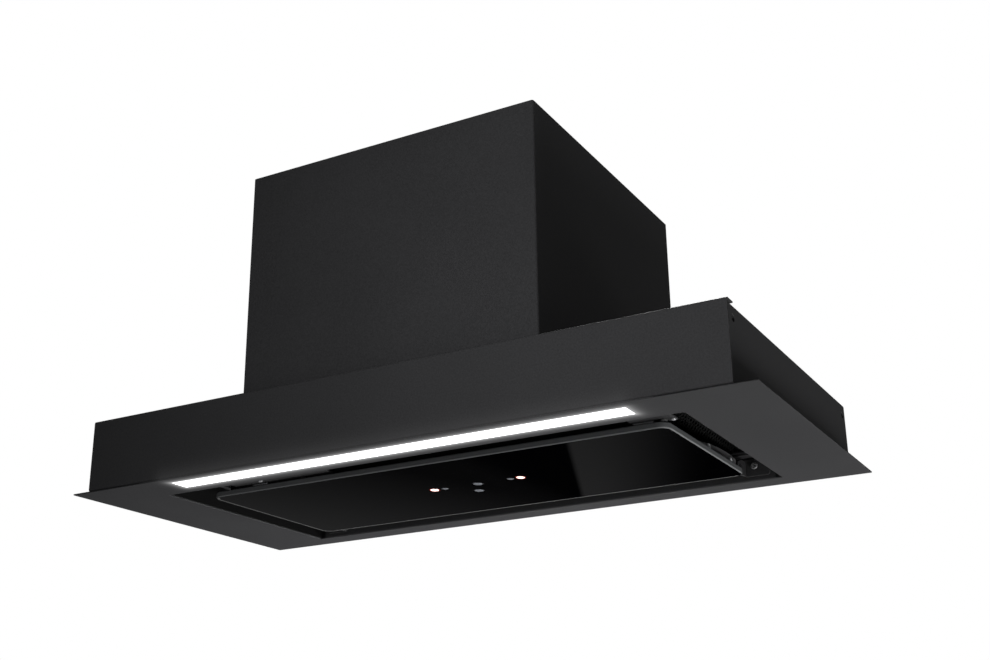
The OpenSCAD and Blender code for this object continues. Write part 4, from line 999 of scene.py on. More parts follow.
@dataclass
class GlassPanel:
    """Black glass with its sensor windows, and the folded tray behind it.

    Each window is x, y and radius across; the lit ones come first.
    """

    corner: float = 9.0
    arris: float = 0.8
    edge_band: float = 10.0
    windows: tuple = ((-33.0, 5.0, 4.0), (48.7, 5.0, 4.0), (-23.0, 5.5, 3.0), (39.5, 4.5, 3.0),
                      (8.5, 5.5, 4.2), (-2.0, 26.0, 4.2))
    lit: int = 2
    oval: float = 1.2
    guide_top: float = 8.0
    tray_sheet: float = 1.0
    bead_l: float = 360.0
    bead_inset: float = 14.0

    def build(self, shop: Workshop) -> None:
        """Makes the pane, the windows and the tray.

        Args:
            shop: Makes the pieces.
        """
        self.pane(shop)
        self.guides(shop)
        self.tray(shop)

    def holes(self, n: int) -> list[Array]:
        """Returns the windows' holes as outlines of n points."""
        return [circle(r + 0.1, n) * (1, self.oval) + (x, y) for x, y, r in self.windows]

    def pane(self, shop: Workshop) -> None:
        """Makes the pane: a chamfered plate whose edge band has the ground finish.

        Args:
            shop: Makes the pieces.
        """
        x0, x1, y0, y1, z0, z1 = limits("glass_pane")
        pane = shop.piece("glass_plate", plate(soft_rect(x0, x1, y0, y1, self.corner, 12), z0, z1,
                                               self.holes(32), self.arris), "glass_pane").data
        pane.materials.append(shop.materials["ground_edge"])
        steep = np.array([abs(face.normal.z) < 0.9 for face in pane.polygons])
        middle = np.array([face.center[:2] for face in pane.polygons]) / MM
        band = self.edge_band
        outer = ((middle < (x0 + band, y0 + band)) | (middle > (x1 - band, y1 - band))).any(1)
        pane.polygons.foreach_set("material_index", (steep & outer).astype(np.int32))

    def guides(self, shop: Workshop) -> None:
        """Makes the light guides behind the glass; the lit ones glow, with a red rim.

        Args:
            shop: Makes the pieces.
        """
        top = self.guide_top
        for name, windows, rim_finish, share in (("lit", self.windows[:self.lit], "window_rim", 0.82),
                                                 ("dim", self.windows[self.lit:], "window_dim_rim", 0.85)):
            cores, rims = [], []
            for x, y, r in windows:
                c = share * r
                core = lathe([(0, 0.1), (c - 0.4, 0.1), (c, 0.25), (c, top), (0, top)], 32)
                rim = lathe([(c, 0.3), (r - 0.3, 0.1), (r, 0.4), (r, top - 0.5), (c, top - 0.5)], 32, True)
                for shapes, shape in ((cores, core), (rims, rim)):
                    shapes.append(shape.scaled(1, self.oval, 1).moved(x, y))
            shop.piece(f"{name}_guides", joined(cores), f"sensor_windows_{name}")
            shop.piece(f"{name}_guides_rim", joined(rims), None, rim_finish, "panel", f"window_{name}")

    def tray(self, shop: Workshop) -> None:
        """Makes the tray: a holed floor with two beads, and a wall with a rolled rim.

        Args:
            shop: Makes the pieces.
        """
        x0, x1, y0, y1, z0, z1 = limits("panel_tray")
        t, long, inset = self.tray_sheet, self.bead_l, self.bead_inset
        floor = plate(soft_rect(x0, x1, y0, y1, 1.5, 4), z0, z0 + t, self.holes(24), 0.2)
        wall = [(0.0, z0 + 0.4), *arc(1.0, z1 - 1.0, 1.0, 180, 0, 7), (2.0, z1 - 2.0), (1.0, z1 - 1.6),
                (1.0, z0 + 0.4)]
        bead = loft(np.array([at_level(circle(r, 16) * (1, 0.45), h)
                              for r, h in ((1.4, 0.0), (2.4, 6.0), (2.4, long - 6.0), (1.4, long))]))
        beads = [along(bead, "x", (-long / 2, y, z0 + 1.4)) for y in (y0 + inset, y1 - inset)]
        shop.piece("panel_tray_sheet", joined([floor, mitred_frame(x0, x1, y0, y1, wall)] + beads),
                   "panel_tray", "tray_black")


@dataclass
class Hinges:
    """Arms, brackets, pins, magnets, catches and bumpers that hold the panel."""

    arm_front: float = 6.5
    pivot: tuple = (102.5, 9.0)
    knuckle: float = 6.0
    arm_screws: tuple = (34.5, 83.5)
    screw_z: float = 11.0
    bracket_screw: tuple = (209.0, 12.6)
    studs: tuple = ((-153.0, -76.0), (210.8, -65.5))
    pin_head: float = 196.2
    magnet: float = 16.0
    bumper_r: float = 3.0
    # the left catch angle gets a lighter finish than the right one: painted light where light through the gap
    # falls on it
    angles: tuple = (("left", "bracket_painted_lit", (-158.0, -141.0, -96.0)), ("right", None, (189.0,)))

    def build(self, shop: Workshop) -> None:
        """Makes both hinges and the catches.

        Args:
            shop: Makes the pieces.
        """
        x0, x1 = limits("hinge_arm_right")[:2]
        front, (y, _) = self.arm_front, self.pivot
        t = np.linspace(0, 1, 14)
        top = np.stack([front + (y - front) * t, 10.3 + 8.2 * 0.8 * np.sin(np.radians(120 * t))], 1)
        knuckle = arc(*self.pivot, self.knuckle, 60, -90, 12)
        outline = np.vstack([[front, 6.3], [y - 7, 6.3], knuckle[::-1], top[::-1][2:]])
        holes = [circle(2.05, 20, *self.pivot)]
        holes += [circle(2.0, 16, at, self.screw_z) for at in self.arm_screws]
        for side, (arm,) in sided(upright(plate(outline, x0, x1, holes, 0.25))):
            shop.piece(f"hinge_lever_{side}", arm, f"hinge_arm_{side}", "hinge_black")
        self.brackets(shop)
        self.pins(shop)
        self.catches(shop)
        self.stops(shop)

    def brackets(self, shop: Workshop) -> None:
        """Makes the brackets: a plate on the rear rim, and an ear with a round end for the pin.

        Args:
            shop: Makes the pieces.
        """
        x0, x1, _, y1, _, z1 = limits("hinge_bracket_right")
        hole = circle(2.0, 18, *self.bracket_screw)
        base = plate(soft_rect(x0, x1, 4.0, z1, 2.0, 5), 0, 1.5, [hole], 0.25)
        ear = arc(*self.pivot, self.knuckle, 90, 270, 14)
        outline = np.vstack([ear, [[y1 - 1.4, 4.5], [y1 - 1.4, 17.0], [self.pivot[0] + 4, 17.0]]])
        lug = upright(plate(outline, x0, x0 + 1.5, [circle(2.0, 20, *self.pivot)], 0.25))
        for side, (both,) in sided(joined([base.axes(0, 2, 1).scaled(1, -1, 1).moved(y=y1), lug])):
            shop.piece(f"hinge_base_{side}", both, f"hinge_bracket_{side}")

    def pins(self, shop: Workshop) -> None:
        """Makes the pins, each with a domed head and a peened end.

        Args:
            shop: Makes the pieces.
        """
        h, x1 = self.pin_head, limits("hinge_pins")[1]
        line = [(0, h), (2.4, h), (3.2, h + 0.3), (3.5, h + 0.9), (3.5, h + 1.5), (2.0, h + 1.5),
                (2.0, x1 - 1.0), (3.0, x1 - 1.0), (2.9, x1 - 0.5), (2.0, x1), (0, x1)]
        shop.piece("hinge_rivets", both_sides(along(lathe(line, 24), "x", (0, *self.pivot))), "hinge_pins")

    def catches(self, shop: Workshop) -> None:
        """Makes the catch angles with their dimples, and the studs beside them.

        Args:
            shop: Makes the pieces.
        """
        dimple = lathe([(0, 0), (1.9, 0), (1.4, 0.5), (0, 0.6)], 18)
        for side, finish, dimples in self.angles:
            x0, x1, y0, y1, z0, z1 = limits(f"catch_bracket_{side}")
            outline = np.array([(y0, z1), *arc(y0 + 3, z0 + 3, 3, 180, 270, 6), (y1, z0), (y1, z0 + 1.5),
                                *arc(y0 + 3, z0 + 3, 1.5, 270, 180, 6), (y0 + 1.5, z1)])
            shape = joined([upright(plate(outline, x0, x1, (), 0.2))]
                           + [along(dimple, "-z", (x, y1 - 5, z0 + 0.02)) for x in dimples])
            shop.piece(f"catch_angle_{side}", shape, f"catch_bracket_{side}", finish)
        stud = lathe([(0, 0), (1.9, 0), (1.9, 0.5), (1.5, 1.0), (0, 1.2)], 20)
        studs = [along(stud, "-z", (x, y, z0)) for x, y in self.studs]
        shop.piece("catch_studs", joined(studs), None, "stud_steel", "hood", "bright_steel")

    def stops(self, shop: Workshop) -> None:
        """Makes the magnets on the tray and the rubber bumpers over it.

        Args:
            shop: Makes the pieces.
        """
        x0, x1, y0, y1, z0, z1 = limits("panel_magnets")
        blocks = [soft_box(x, x + self.magnet, y0, y1, z0, z1, 0.4) for x in (x0, x1 - self.magnet)]
        shop.piece("magnet_blocks", joined(blocks), "panel_magnets")
        x0, x1, y0, y1, z0, z1 = limits("panel_bumpers")
        r = self.bumper_r
        stop = lathe([(0, z0), (2.0, z0), (2.6, z0 + 0.3), (r, z0 + 0.9), (r, z1), (0, z1)], 24)
        shop.piece("bumper_pads", joined([stop.moved(x, y0 + r) for x in (x0 + r, x1 - r)]), "panel_bumpers")


@dataclass
class GreaseFilters:
    """Two rail frames with pleated expanded mesh, and their sliding latches."""

    rail: float = 10.0
    pleat: float = 7.0
    strand: float = 0.42
    sheet: float = 0.35
    cells_long: float = 5.0
    coils: int = 6
    wire: float = 0.32
    coil_r: float = 1.55
    lip: float = 1.2
    rivet_inset: float = 5.0
    opening: tuple = (16.0, 18.0)

    def build(self, shop: Workshop) -> None:
        """Makes the right filter and its mirror image.

        Args:
            shop: Makes the pieces.
        """
        _, _, y0, y1, z0, z1 = limits("latch_spring_right")
        middle = middles("filter_rail_right")[0]
        a = np.linspace(0, 2 * math.pi * self.coils, self.coils * 18)
        pitch = (y1 - y0 - 0.8) / self.coils
        path = np.column_stack([polar(self.coil_r, a), pitch * a / (2 * math.pi)])
        spring = along(sweep(path, circle(self.wire, 8)), "y", (middle, y0 + 0.4, (z0 + z1) / 2))
        shapes = self.rails(middle), self.net(middle), self.latch(), spring
        for side, (rails, net, latch, coil) in sided(*shapes):
            shop.piece(f"filter_frame_rails_{side}", rails, f"filter_rail_{side}")
            mesh = shop.piece(f"filter_net_{side}", net, f"filter_mesh_{side}", "net_black")
            thick = mesh.modifiers.new("strand_thickness", "SOLIDIFY")
            thick.thickness, thick.offset = self.sheet * MM, 0
            shop.piece(f"latch_slider_{side}", latch, f"filter_latch_{side}")
            wire = shop.piece(f"latch_coil_{side}", coil, f"latch_spring_{side}")
            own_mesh(wire)

    def rails(self, middle: float) -> Shape:
        """Makes the lipped rails, the latch's guide in the middle and a rivet at each corner.

        Args:
            middle: Middle of the filter, left to right.

        Returns:
            The closed shape.
        """
        x0, x1, y0, y1, z0, z1 = limits("filter_rail_right")
        wide, t, inset = self.rail, self.lip, self.rivet_inset
        lips = [(0, z0 + 0.6), (0.6, z0), (wide, z0), (wide, z0 + t), (t, z0 + t), (t, z1 - t),
                (wide, z1 - t), (wide, z1), (0.6, z1), (0, z1 - 0.6)]
        blocks = ((-13.9, -8.4, z0), (8.4, 13.9, z0), (-14, 14, z1 - 3.2))
        guide = [soft_box(middle + a, middle + b, y0 + 9, y0 + 28, z, z1, 0.4) for a, b, z in blocks]
        rivet = lathe([(0, 0), (1.6, 0), (1.4, 0.3), (0, 0.4)], 16)
        rivets = [along(rivet, "-z", (x, y, z0 + 0.02)) for x in (x0 + inset, x1 - inset)
                  for y in (y0 + inset, y1 - inset)]
        return joined([mitred_frame(x0, x1, y0, y1, lips)] + guide + rivets)

    def net(self, middle: float) -> Shape:
        """Makes the pleated mesh as a lattice of open diamonds, left out round the latch.

        Diamonds stand in staggered rows. Each is a ring of four quads between its corners and the
        same corners drawn in. The height at x is a triangle wave with one fold every half pleat.

        Args:
            middle: Middle of the filter, left to right.

        Returns:
            The open surface.
        """
        x0, x1, y0, y1, z0, z1 = limits("filter_mesh_right")
        half = (x1 - x0) / (2 * int((x1 - x0) / self.pleat))
        rows, columns = int((y1 - y0) / self.cells_long), round((x1 - x0) / half)
        long = (y1 - y0) / rows
        centres = np.array([(x0 + half * (i + 0.5 * shift) + half / 2, y0 + long * (j + 0.5 + 0.5 * shift))
                            for shift in (0, 1) for i in range(columns - shift) for j in range(rows - shift)])
        gap, deep = self.opening
        centres = centres[~((abs(centres[:, 0] - middle) < gap) & (centres[:, 1] < y0 + deep))]
        corner = np.array([[half / 2, 0], [0, long / 2], [-half / 2, 0], [0, -long / 2]])
        drawn = 1 - self.strand / (half / 2)
        ring = centres[:, None] + np.concatenate([corner, corner * drawn])[None]
        wave = abs(((ring[..., 0] - x0) / half + 1) % 2 - 1)
        z = z0 + 0.4 + (z1 - z0 - 0.8) * wave
        points = np.concatenate([ring, z[..., None]], -1).reshape(-1, 3)
        base = 8 * np.arange(len(centres))[:, None]
        quads = [np.hstack([base + k, base + (k + 1) % 4, base + 4 + (k + 1) % 4, base + 4 + k])
                 for k in range(4)]
        return Shape(points, [tuple(q) for q in np.vstack(quads).tolist()])

    @staticmethod
    def latch() -> Shape:
        """Makes a latch: tongue, body and a ribbed grip.

        Returns:
            The closed shape.
        """
        x0, x1, y0, y1, z0, z1 = limits("filter_latch_right")
        tongue = soft_box(x0, x1, y0, y1 - 2, z0 + 2.8, z0 + 4.8, 0.5)
        body = soft_box(x0, x1, y0 + 13.3, y1, z0 + 2.8, z1, 0.6)
        grip = soft_box(x0 + 1, x1 - 1, y0 + 14.3, y0 + 17.3, z0, z0 + 3.6, 0.6)
        ribs = [soft_box(x0 + 2, x1 - 2, y, y + 0.7, z0 + 2.4, z0 + 3.0, 0.25)
                for y in np.arange(y0 + 18, y1 - 0.8, 1.3)]
        return joined([tongue, body, grip] + ribs)


@dataclass
class Blower:
    """Scroll, impeller, motor and their mounting, about an axis along X."""

    centre: tuple = (-25.985, 165.958)
    impeller_r: float = 72.0
    blade_l: float = 13.0
    blades: int = 32
    blade_half: float = 0.45
    blade_bend: float = 9.0
    blade_tilt: float = 20.0
    half_width: float = 50.0
    scroll_half: float = 55.0
    tongue_angle: float = 65.0
    tongue_r: float = 82.0
    growth: float = 28.0
    inlet_r: float = 62.0
    motor_r: float = 46.0
    flutes: int = 36
    bush_at: float = 77.0
    arm_half: float = 6.0
    arm_end: float = 8.0
    arms: tuple = (0, 120, 240)
    disc_r: float = 25.0
    ribs: tuple = (100, 350, 25)
    clips: tuple = (85, 360, 45)
    bolts: tuple = (45, 135, 225, 315)
    duct_y: float = 46.343

    def placed(self, *shapes: Shape) -> Shape:
        """Joins shapes built round Z and puts them on the blower's axis."""
        return upright(joined(shapes), *self.centre)

    def build(self, shop: Workshop) -> None:
        """Makes every piece of the blower.

        Args:
            shop: Makes the pieces.
        """
        self.scroll(shop)
        self.wheel(shop)
        self.motor(shop)
        self.mounting(shop)
        self.capacitor(shop)

    def reach(self, angle: float | Array) -> float | Array:
        """Returns the scroll's radius, which grows evenly with the angle from the tongue on."""
        return self.tongue_r + self.growth * (angle - self.tongue_angle) / (360 - self.tongue_angle)

    def outline(self, off: float, top: float) -> Array:
        """Outline of the scroll, from the tongue round to the mouth.

        Args:
            off: How far the outline is pushed out.
            top: Height of the mouth over the axis.

        Returns:
            Points counter-clockwise.
        """
        a = np.linspace(self.tongue_angle, 360, 49)[1:]
        u = self.tongue_r * math.cos(math.radians(self.tongue_angle)) - off
        start = [[u, math.sqrt((self.tongue_r + off) ** 2 - u ** 2)]]
        mouth = self.tongue_r + self.growth + off
        return np.vstack([start, polar(self.reach(a) + off, np.radians(a)), [[mouth, top], [u, top]]])

    def scroll(self, shop: Workshop) -> None:
        """Makes both halves: side plate with a rolled inlet, wall, joint rim with clips, flange and ribs.

        Args:
            shop: Makes the pieces.
        """
        x1, _, _, _, z1 = limits("scroll_right")[1:]
        half, inlet, top = self.scroll_half, self.inlet_r, z1 - self.centre[1]
        side = plate(self.outline(2, top - 1), half - 2, half, [circle(inlet + 1, 72)], 0.3)
        wall = plate(self.outline(2, top - 1), 0.1, half - 1, [self.outline(0, top - 2.5)], 0.2)
        rim = plate(self.outline(5, top - 4), 0.0, 1.5, [self.outline(1, top - 5)], 0.3)
        roll = lathe([*arc(inlet + 4, half, 4, 180, 0, 13), (inlet + 7.2, half - 0.5),
                      (inlet + 0.2, half - 2)], 72, True)
        ribs = [soft_box(inlet + 9, self.reach(v) - 1, -0.8, 0.8, half - 0.2, half + 2.2, 0.4).turned("Z", v)
                for v in np.arange(*self.ribs)]
        clips = [soft_box(self.reach(v) + 2, self.reach(v) + 4.6, -5, 5, 1.0, 9.0, 0.5).turned("Z", v)
                 for v in np.arange(*self.clips)]
        m1, m0 = self.outline(0, top)[-2:, 0]
        f0, f1 = (self.duct_y - self.centre[0] + side for side in (-64, 64))
        flange = plate(np.array([(f0, 0.1), (m0, 0.1), (m0, half - 2), (m1, half - 2), (m1, 0.1), (f1, 0.1),
                                 (f1, x1), (f0, x1)]), -2.0, 0.0, (), 0.2)
        whole = self.placed(side, wall, rim, roll, flange.axes(0, 2, 1).moved(y=top), *ribs, *clips)
        for name, (shape,) in sided(whole):
            shop.piece(f"scroll_half_{name}", shape, f"scroll_{name}")

    def wheel(self, shop: Workshop) -> None:
        """Makes the impeller: each blade's section bends with the square of the way out.

        Args:
            shop: Makes the pieces.
        """
        t = np.linspace(0, 1, 9)
        inner, outer, half = self.impeller_r - self.blade_l, self.impeller_r, self.half_width
        a = np.radians(self.blade_bend * t ** 2)
        spine = polar(inner + 0.6 + (self.blade_l - 1.2) * t, a)
        offset = self.blade_half * polar(1, a + math.radians(self.blade_tilt))[:, ::-1] * (-1, 1)
        section = np.vstack([spine - offset, (spine + offset)[::-1]])
        blade = loft(np.array([at_level(section, z) for z in (1 - half, half - 1)]))
        fan = [blade.turned("Z", 360 * i / self.blades) for i in range(self.blades)]
        ring = [(inner, 0), (inner, 1.6), (inner + 0.4, 2), (outer - 0.4, 2), (outer, 1.6), (outer, 0)]
        rings = [lathe(ring, 96, True).moved(z=z) for z in (-half, half - 2)]
        disc = lathe([(4.0, 7), (9, 7), (9, 9.5), (11, 10), (30, 10), (34, 10.8), (inner + 1.5, 10.8),
                      (inner + 1.5, 12), (32, 12), (28, 11.4), (11, 11.4), (9, 12.4), (9, 22), (8.2, 23),
                      (0, 23), (0, 21.2), (4.0, 21)], 72, True)
        webs = [soft_box(8.8, 26, -0.7, 0.7, 11, 17, 0.4).turned("Z", v) for v in range(0, 360, 60)]
        shop.piece("fan_wheel", self.placed(*fan, *rings, disc, *webs), "impeller")
        x0, x1 = limits("motor_shaft")[:2]
        shop.piece("fan_shaft", self.placed(rod(4, x0, x1, 32, (0.6, 0.6))), "motor_shaft")

    def motor(self, shop: Workshop) -> None:
        """Makes the motor: two shields and a fluted stator band, with through bolts and bearings.

        Where the profile carries the weight w, the radius loses 0.9 w (1 + cos(flutes a)) / 2.

        Args:
            shop: Makes the pieces.
        """
        x0, x1 = limits("motor_body")[:2]
        r, middle = self.motor_r, (x1 - x0) / 2
        half = np.array([(8.0, 0.2, 0), (20, 0.2, 0), (22, 1.6, 0), (r - 8, 1.6, 0), (r - 4, 3, 0),
                         (r - 1.5, 6, 0), (r - 1, 14, 0), (r, 14.2, 1), (r, middle - 2.2, 1),
                         (r + 1, middle - 2, 0)])
        line = np.vstack([half, np.abs(half[::-1] - (0, x1 - x0, 0))])
        flute = 0.9 * line[:, 2:] * (1 + np.cos(self.flutes * steps_round(144))) / 2
        can = loft(turned_rings((line[:, :1] - flute).clip(0.001), line[:, 1:2], 144)).moved(z=x0)
        bolt = rod(2.8, x0 + 1, x1 - 1, 6, (0.2, 0.6)).moved(r - 10)
        bolts = [bolt.turned("Z", v) for v in self.bolts]
        shop.piece("motor_can", self.placed(can, *bolts), "motor_body")
        bush = lathe([(4.05, 0), (7.4, 0), (8, 0.5), (8, 7.5), (7.4, 8), (4.05, 8)], 36, True)
        b0, b1 = limits("motor_bearings")[:2]
        pair = [bush.moved(z=z) for z in (b0, b1 - 8)]
        shop.piece("motor_bushings", self.placed(*pair), "motor_bearings")

    def mounting(self, shop: Workshop) -> None:
        """Makes the three-armed bracket and its rubber mounts.

        The bracket's outline in polar form is the arm's end or the arm's side, half / |sin a| from
        the nearest arm, and never less than the disc.

        Args:
            shop: Makes the pieces.
        """
        x0, x1 = limits("motor_bracket")[:2]
        at, arms = self.bush_at, self.arms
        a = np.linspace(0, 360, 180, endpoint=False)
        off = np.sin(np.radians((a + 60) % 120 - 60))
        side = self.arm_half / (np.abs(off) + 1e-6)
        cap = at + np.sqrt((self.arm_end ** 2 - (at * off) ** 2).clip(0))
        r = np.where(np.abs(at * off) < self.arm_half, cap, np.minimum(side, at))
        spots = [polar(at, math.radians(v)) for v in arms]
        holes = [circle(9.0, 36)] + [circle(2.6, 18, *p) for p in spots]
        star = plate(polar(np.maximum(r, self.disc_r), np.radians(a)), x0, x1, holes, 0.3)
        beads = [soft_box(28, 66, -2, 2, x0, x0 + 1, 0.4).moved(z=-0.6).turned("Z", v) for v in arms]
        shop.piece("motor_spider", self.placed(star, *beads), "motor_bracket")
        b0, b1 = limits("motor_bushes")[:2]
        mount = lathe([(0, b0), (5.2, b0), (6, b0 + 0.8), (6, b0 + 2.6), (4.6, b0 + 3.4), (4.6, b1 - 3.4),
                       (6, b1 - 2.6), (6, b1 - 0.8), (5.2, b1), (0, b1)], 28)
        shop.piece("motor_mounts", self.placed(*(mount.moved(*p) for p in spots)), "motor_bushes")

    def capacitor(self, shop: Workshop) -> None:
        """Makes the run capacitor: a can with a beaded rim, tabs and a strap.

        Args:
            shop: Makes the pieces.
        """
        x0, x1, y0, y1, _, _ = limits("capacitor")
        x, _, z = middles("capacitor")
        r, end = (x1 - x0) / 2, y1 - y0
        can = lathe([(0, 0), (r - 1.5, 0), (r, 1.2), (r, end - 7), (r - 0.8, end - 6), (r, end - 5),
                     (r - 0.6, end - 3.4), (r - 2.2, end - 3), (r - 4, end - 3.2), (r - 4, end - 0.2),
                     (0, end - 0.2)], 40)
        strap = lathe([(r - 0.3, 22), (r, 22), (r, 30), (r - 0.3, 30)], 40, True)
        tabs = [soft_box(s - 2.2, s + 2.2, -0.4, 0.4, end - 4, end, 0.2) for s in (-5, 5)]
        shop.piece("run_capacitor", along(joined([can, strap] + tabs), "-y", (x, y1, z)), "capacitor")


@dataclass
class DuctOutlet:
    """Collar with its two damper flaps on one pin."""

    centre_y: float = 46.343
    outer: float = 74.75
    inner: float = 72.75
    seat: float = 69.05
    pin_z: float = 265.5
    flap_z: float = 262.3
    flap_r: float = 71.9
    flap_front: float = 5.0
    notch: float = 3.9
    knuckle_r: float = 3.0
    knuckles: tuple = (12.0, 40.0)
    knuckle_l: float = 16.0
    ribs: tuple = (-36, -12, 12, 36)

    def build(self, shop: Workshop) -> None:
        """Makes the collar, the pin and both flaps.

        Args:
            shop: Makes the pieces.
        """
        self.collar(shop)
        y0, y1 = limits("damper_pin")[2:4]
        pin = along(rod(1.5, y0, y1, 24, (0.3, 0.4)), "y", (0, 0, self.pin_z))
        shop.piece("damper_axle", pin, "damper_pin")
        near, far = self.knuckles
        left = self.flap((-far, near), (-near, far))
        shop.piece("damper_leaf_left", left, "damper_flap_left")
        right = self.flap((-near, far), (-far, near)).mirrored()
        shop.piece("damper_leaf_right", right, "damper_flap_right")

    def collar(self, shop: Workshop) -> None:
        """Makes the collar: flange, grooved spigot, the flaps' seat, fins and the pin's bosses.

        Args:
            shop: Makes the pieces.
        """
        _, x1, _, _, z0, z1 = limits("outlet_collar")
        o, i, s = self.outer, self.inner, self.seat
        ring = lathe([(i, z0), (x1 - 0.6, z0), (x1, z0 + 0.6), (x1, z0 + 1.4), (x1 - 0.6, z0 + 2),
                      (o + 1.5, z0 + 2), (o, z0 + 3.2), (o, z1 - 8.4), (o - 0.7, z1 - 7.6),
                      (o - 0.7, z1 - 6.4), (o, z1 - 5.6), (o, z1 - 1.4), (o - 0.8, z1), (i + 0.3, z1),
                      (i, z1 - 0.6), (i, z0 + 3.8), (s + 0.4, z0 + 3.6), (s, z0 + 3.2), (s, z0 + 2.2),
                      (i - 0.6, z0 + 2)], 120, True)
        gusset = np.array([(o - 0.3, z0 + 1.8), (x1 - 4, z0 + 1.8), (o + 0.6, z0 + 9), (o - 0.3, z0 + 9)])
        fin = plate(gusset, -0.9, 0.9, (), 0.2).axes(0, 2, 1).scaled(1, -1, 1)
        fins = [fin.turned("Z", v) for v in np.arange(22.5, 360, 22.5) if abs((v % 90) - 45) > 5]
        boss = lathe([(1.5, 0), (4, 0), (4, 5.5), (3.4, 6), (1.5, 6)], 28, True)
        bosses = [along(boss, axis, (0, y, self.pin_z)) for axis, y in (("y", -i - 0.3), ("-y", i + 0.3))]
        shop.piece("duct_spigot", joined([ring] + fins + bosses).moved(y=self.centre_y), "outlet_collar")

    def flap(self, own: Sequence[float], other: Sequence[float]) -> Shape:
        """Makes the left flap: half a disc with notches, a rim bead, ribs and knuckles.

        Args:
            own: Places of its knuckles along the pin.
            other: Places of the other flap's knuckles, where it has notches.

        Returns:
            The closed shape.
        """
        r, z, front, end = self.flap_r, self.flap_z, -self.flap_front, self.flap_r - 8.0
        start = math.acos(front / r)
        edge = [(front, -end), (-0.6, -end)]
        half = self.knuckle_l / 2 + 0.6
        for y in sorted(other):
            edge += [(-0.6, y - half), (-self.notch, y - half), (-self.notch, y + half), (-0.6, y + half)]
        edge += [(-0.6, end), (front, end)]
        disc = polar(r, np.linspace(start, 2 * math.pi - start, 60))
        leaf = plate(np.vstack([disc, edge]), z, z + 1.2, (), 0.2)
        inset = r - 3.0
        path = at_level(arc(0, 0, inset, 100, 260, 41), z + 1.4)
        bead = sweep(path, soft_rect(-0.8, 0.8, -0.8, 0.8, 0.3, 3))
        ribs = [soft_box(-math.sqrt(inset ** 2 - y * y) + 1, -5.5, y - 0.7, y + 0.7, z + 1, z + 2.8, 0.4)
                for y in self.ribs]
        k, long = self.knuckle_r, self.knuckle_l
        tube = lathe([(1.55, 0), (k, 0), (k, long), (1.55, long)], 28, True)
        knuckles = [along(tube, "y", (0, y - long / 2, self.pin_z)) for y in own]
        webs = [soft_box(-5.5, -2.0, y - 6, y + 6, z + 0.6, z + 2.6, 0.4) for y in own]
        return joined([leaf, bead] + ribs + knuckles + webs).moved(y=self.centre_y)


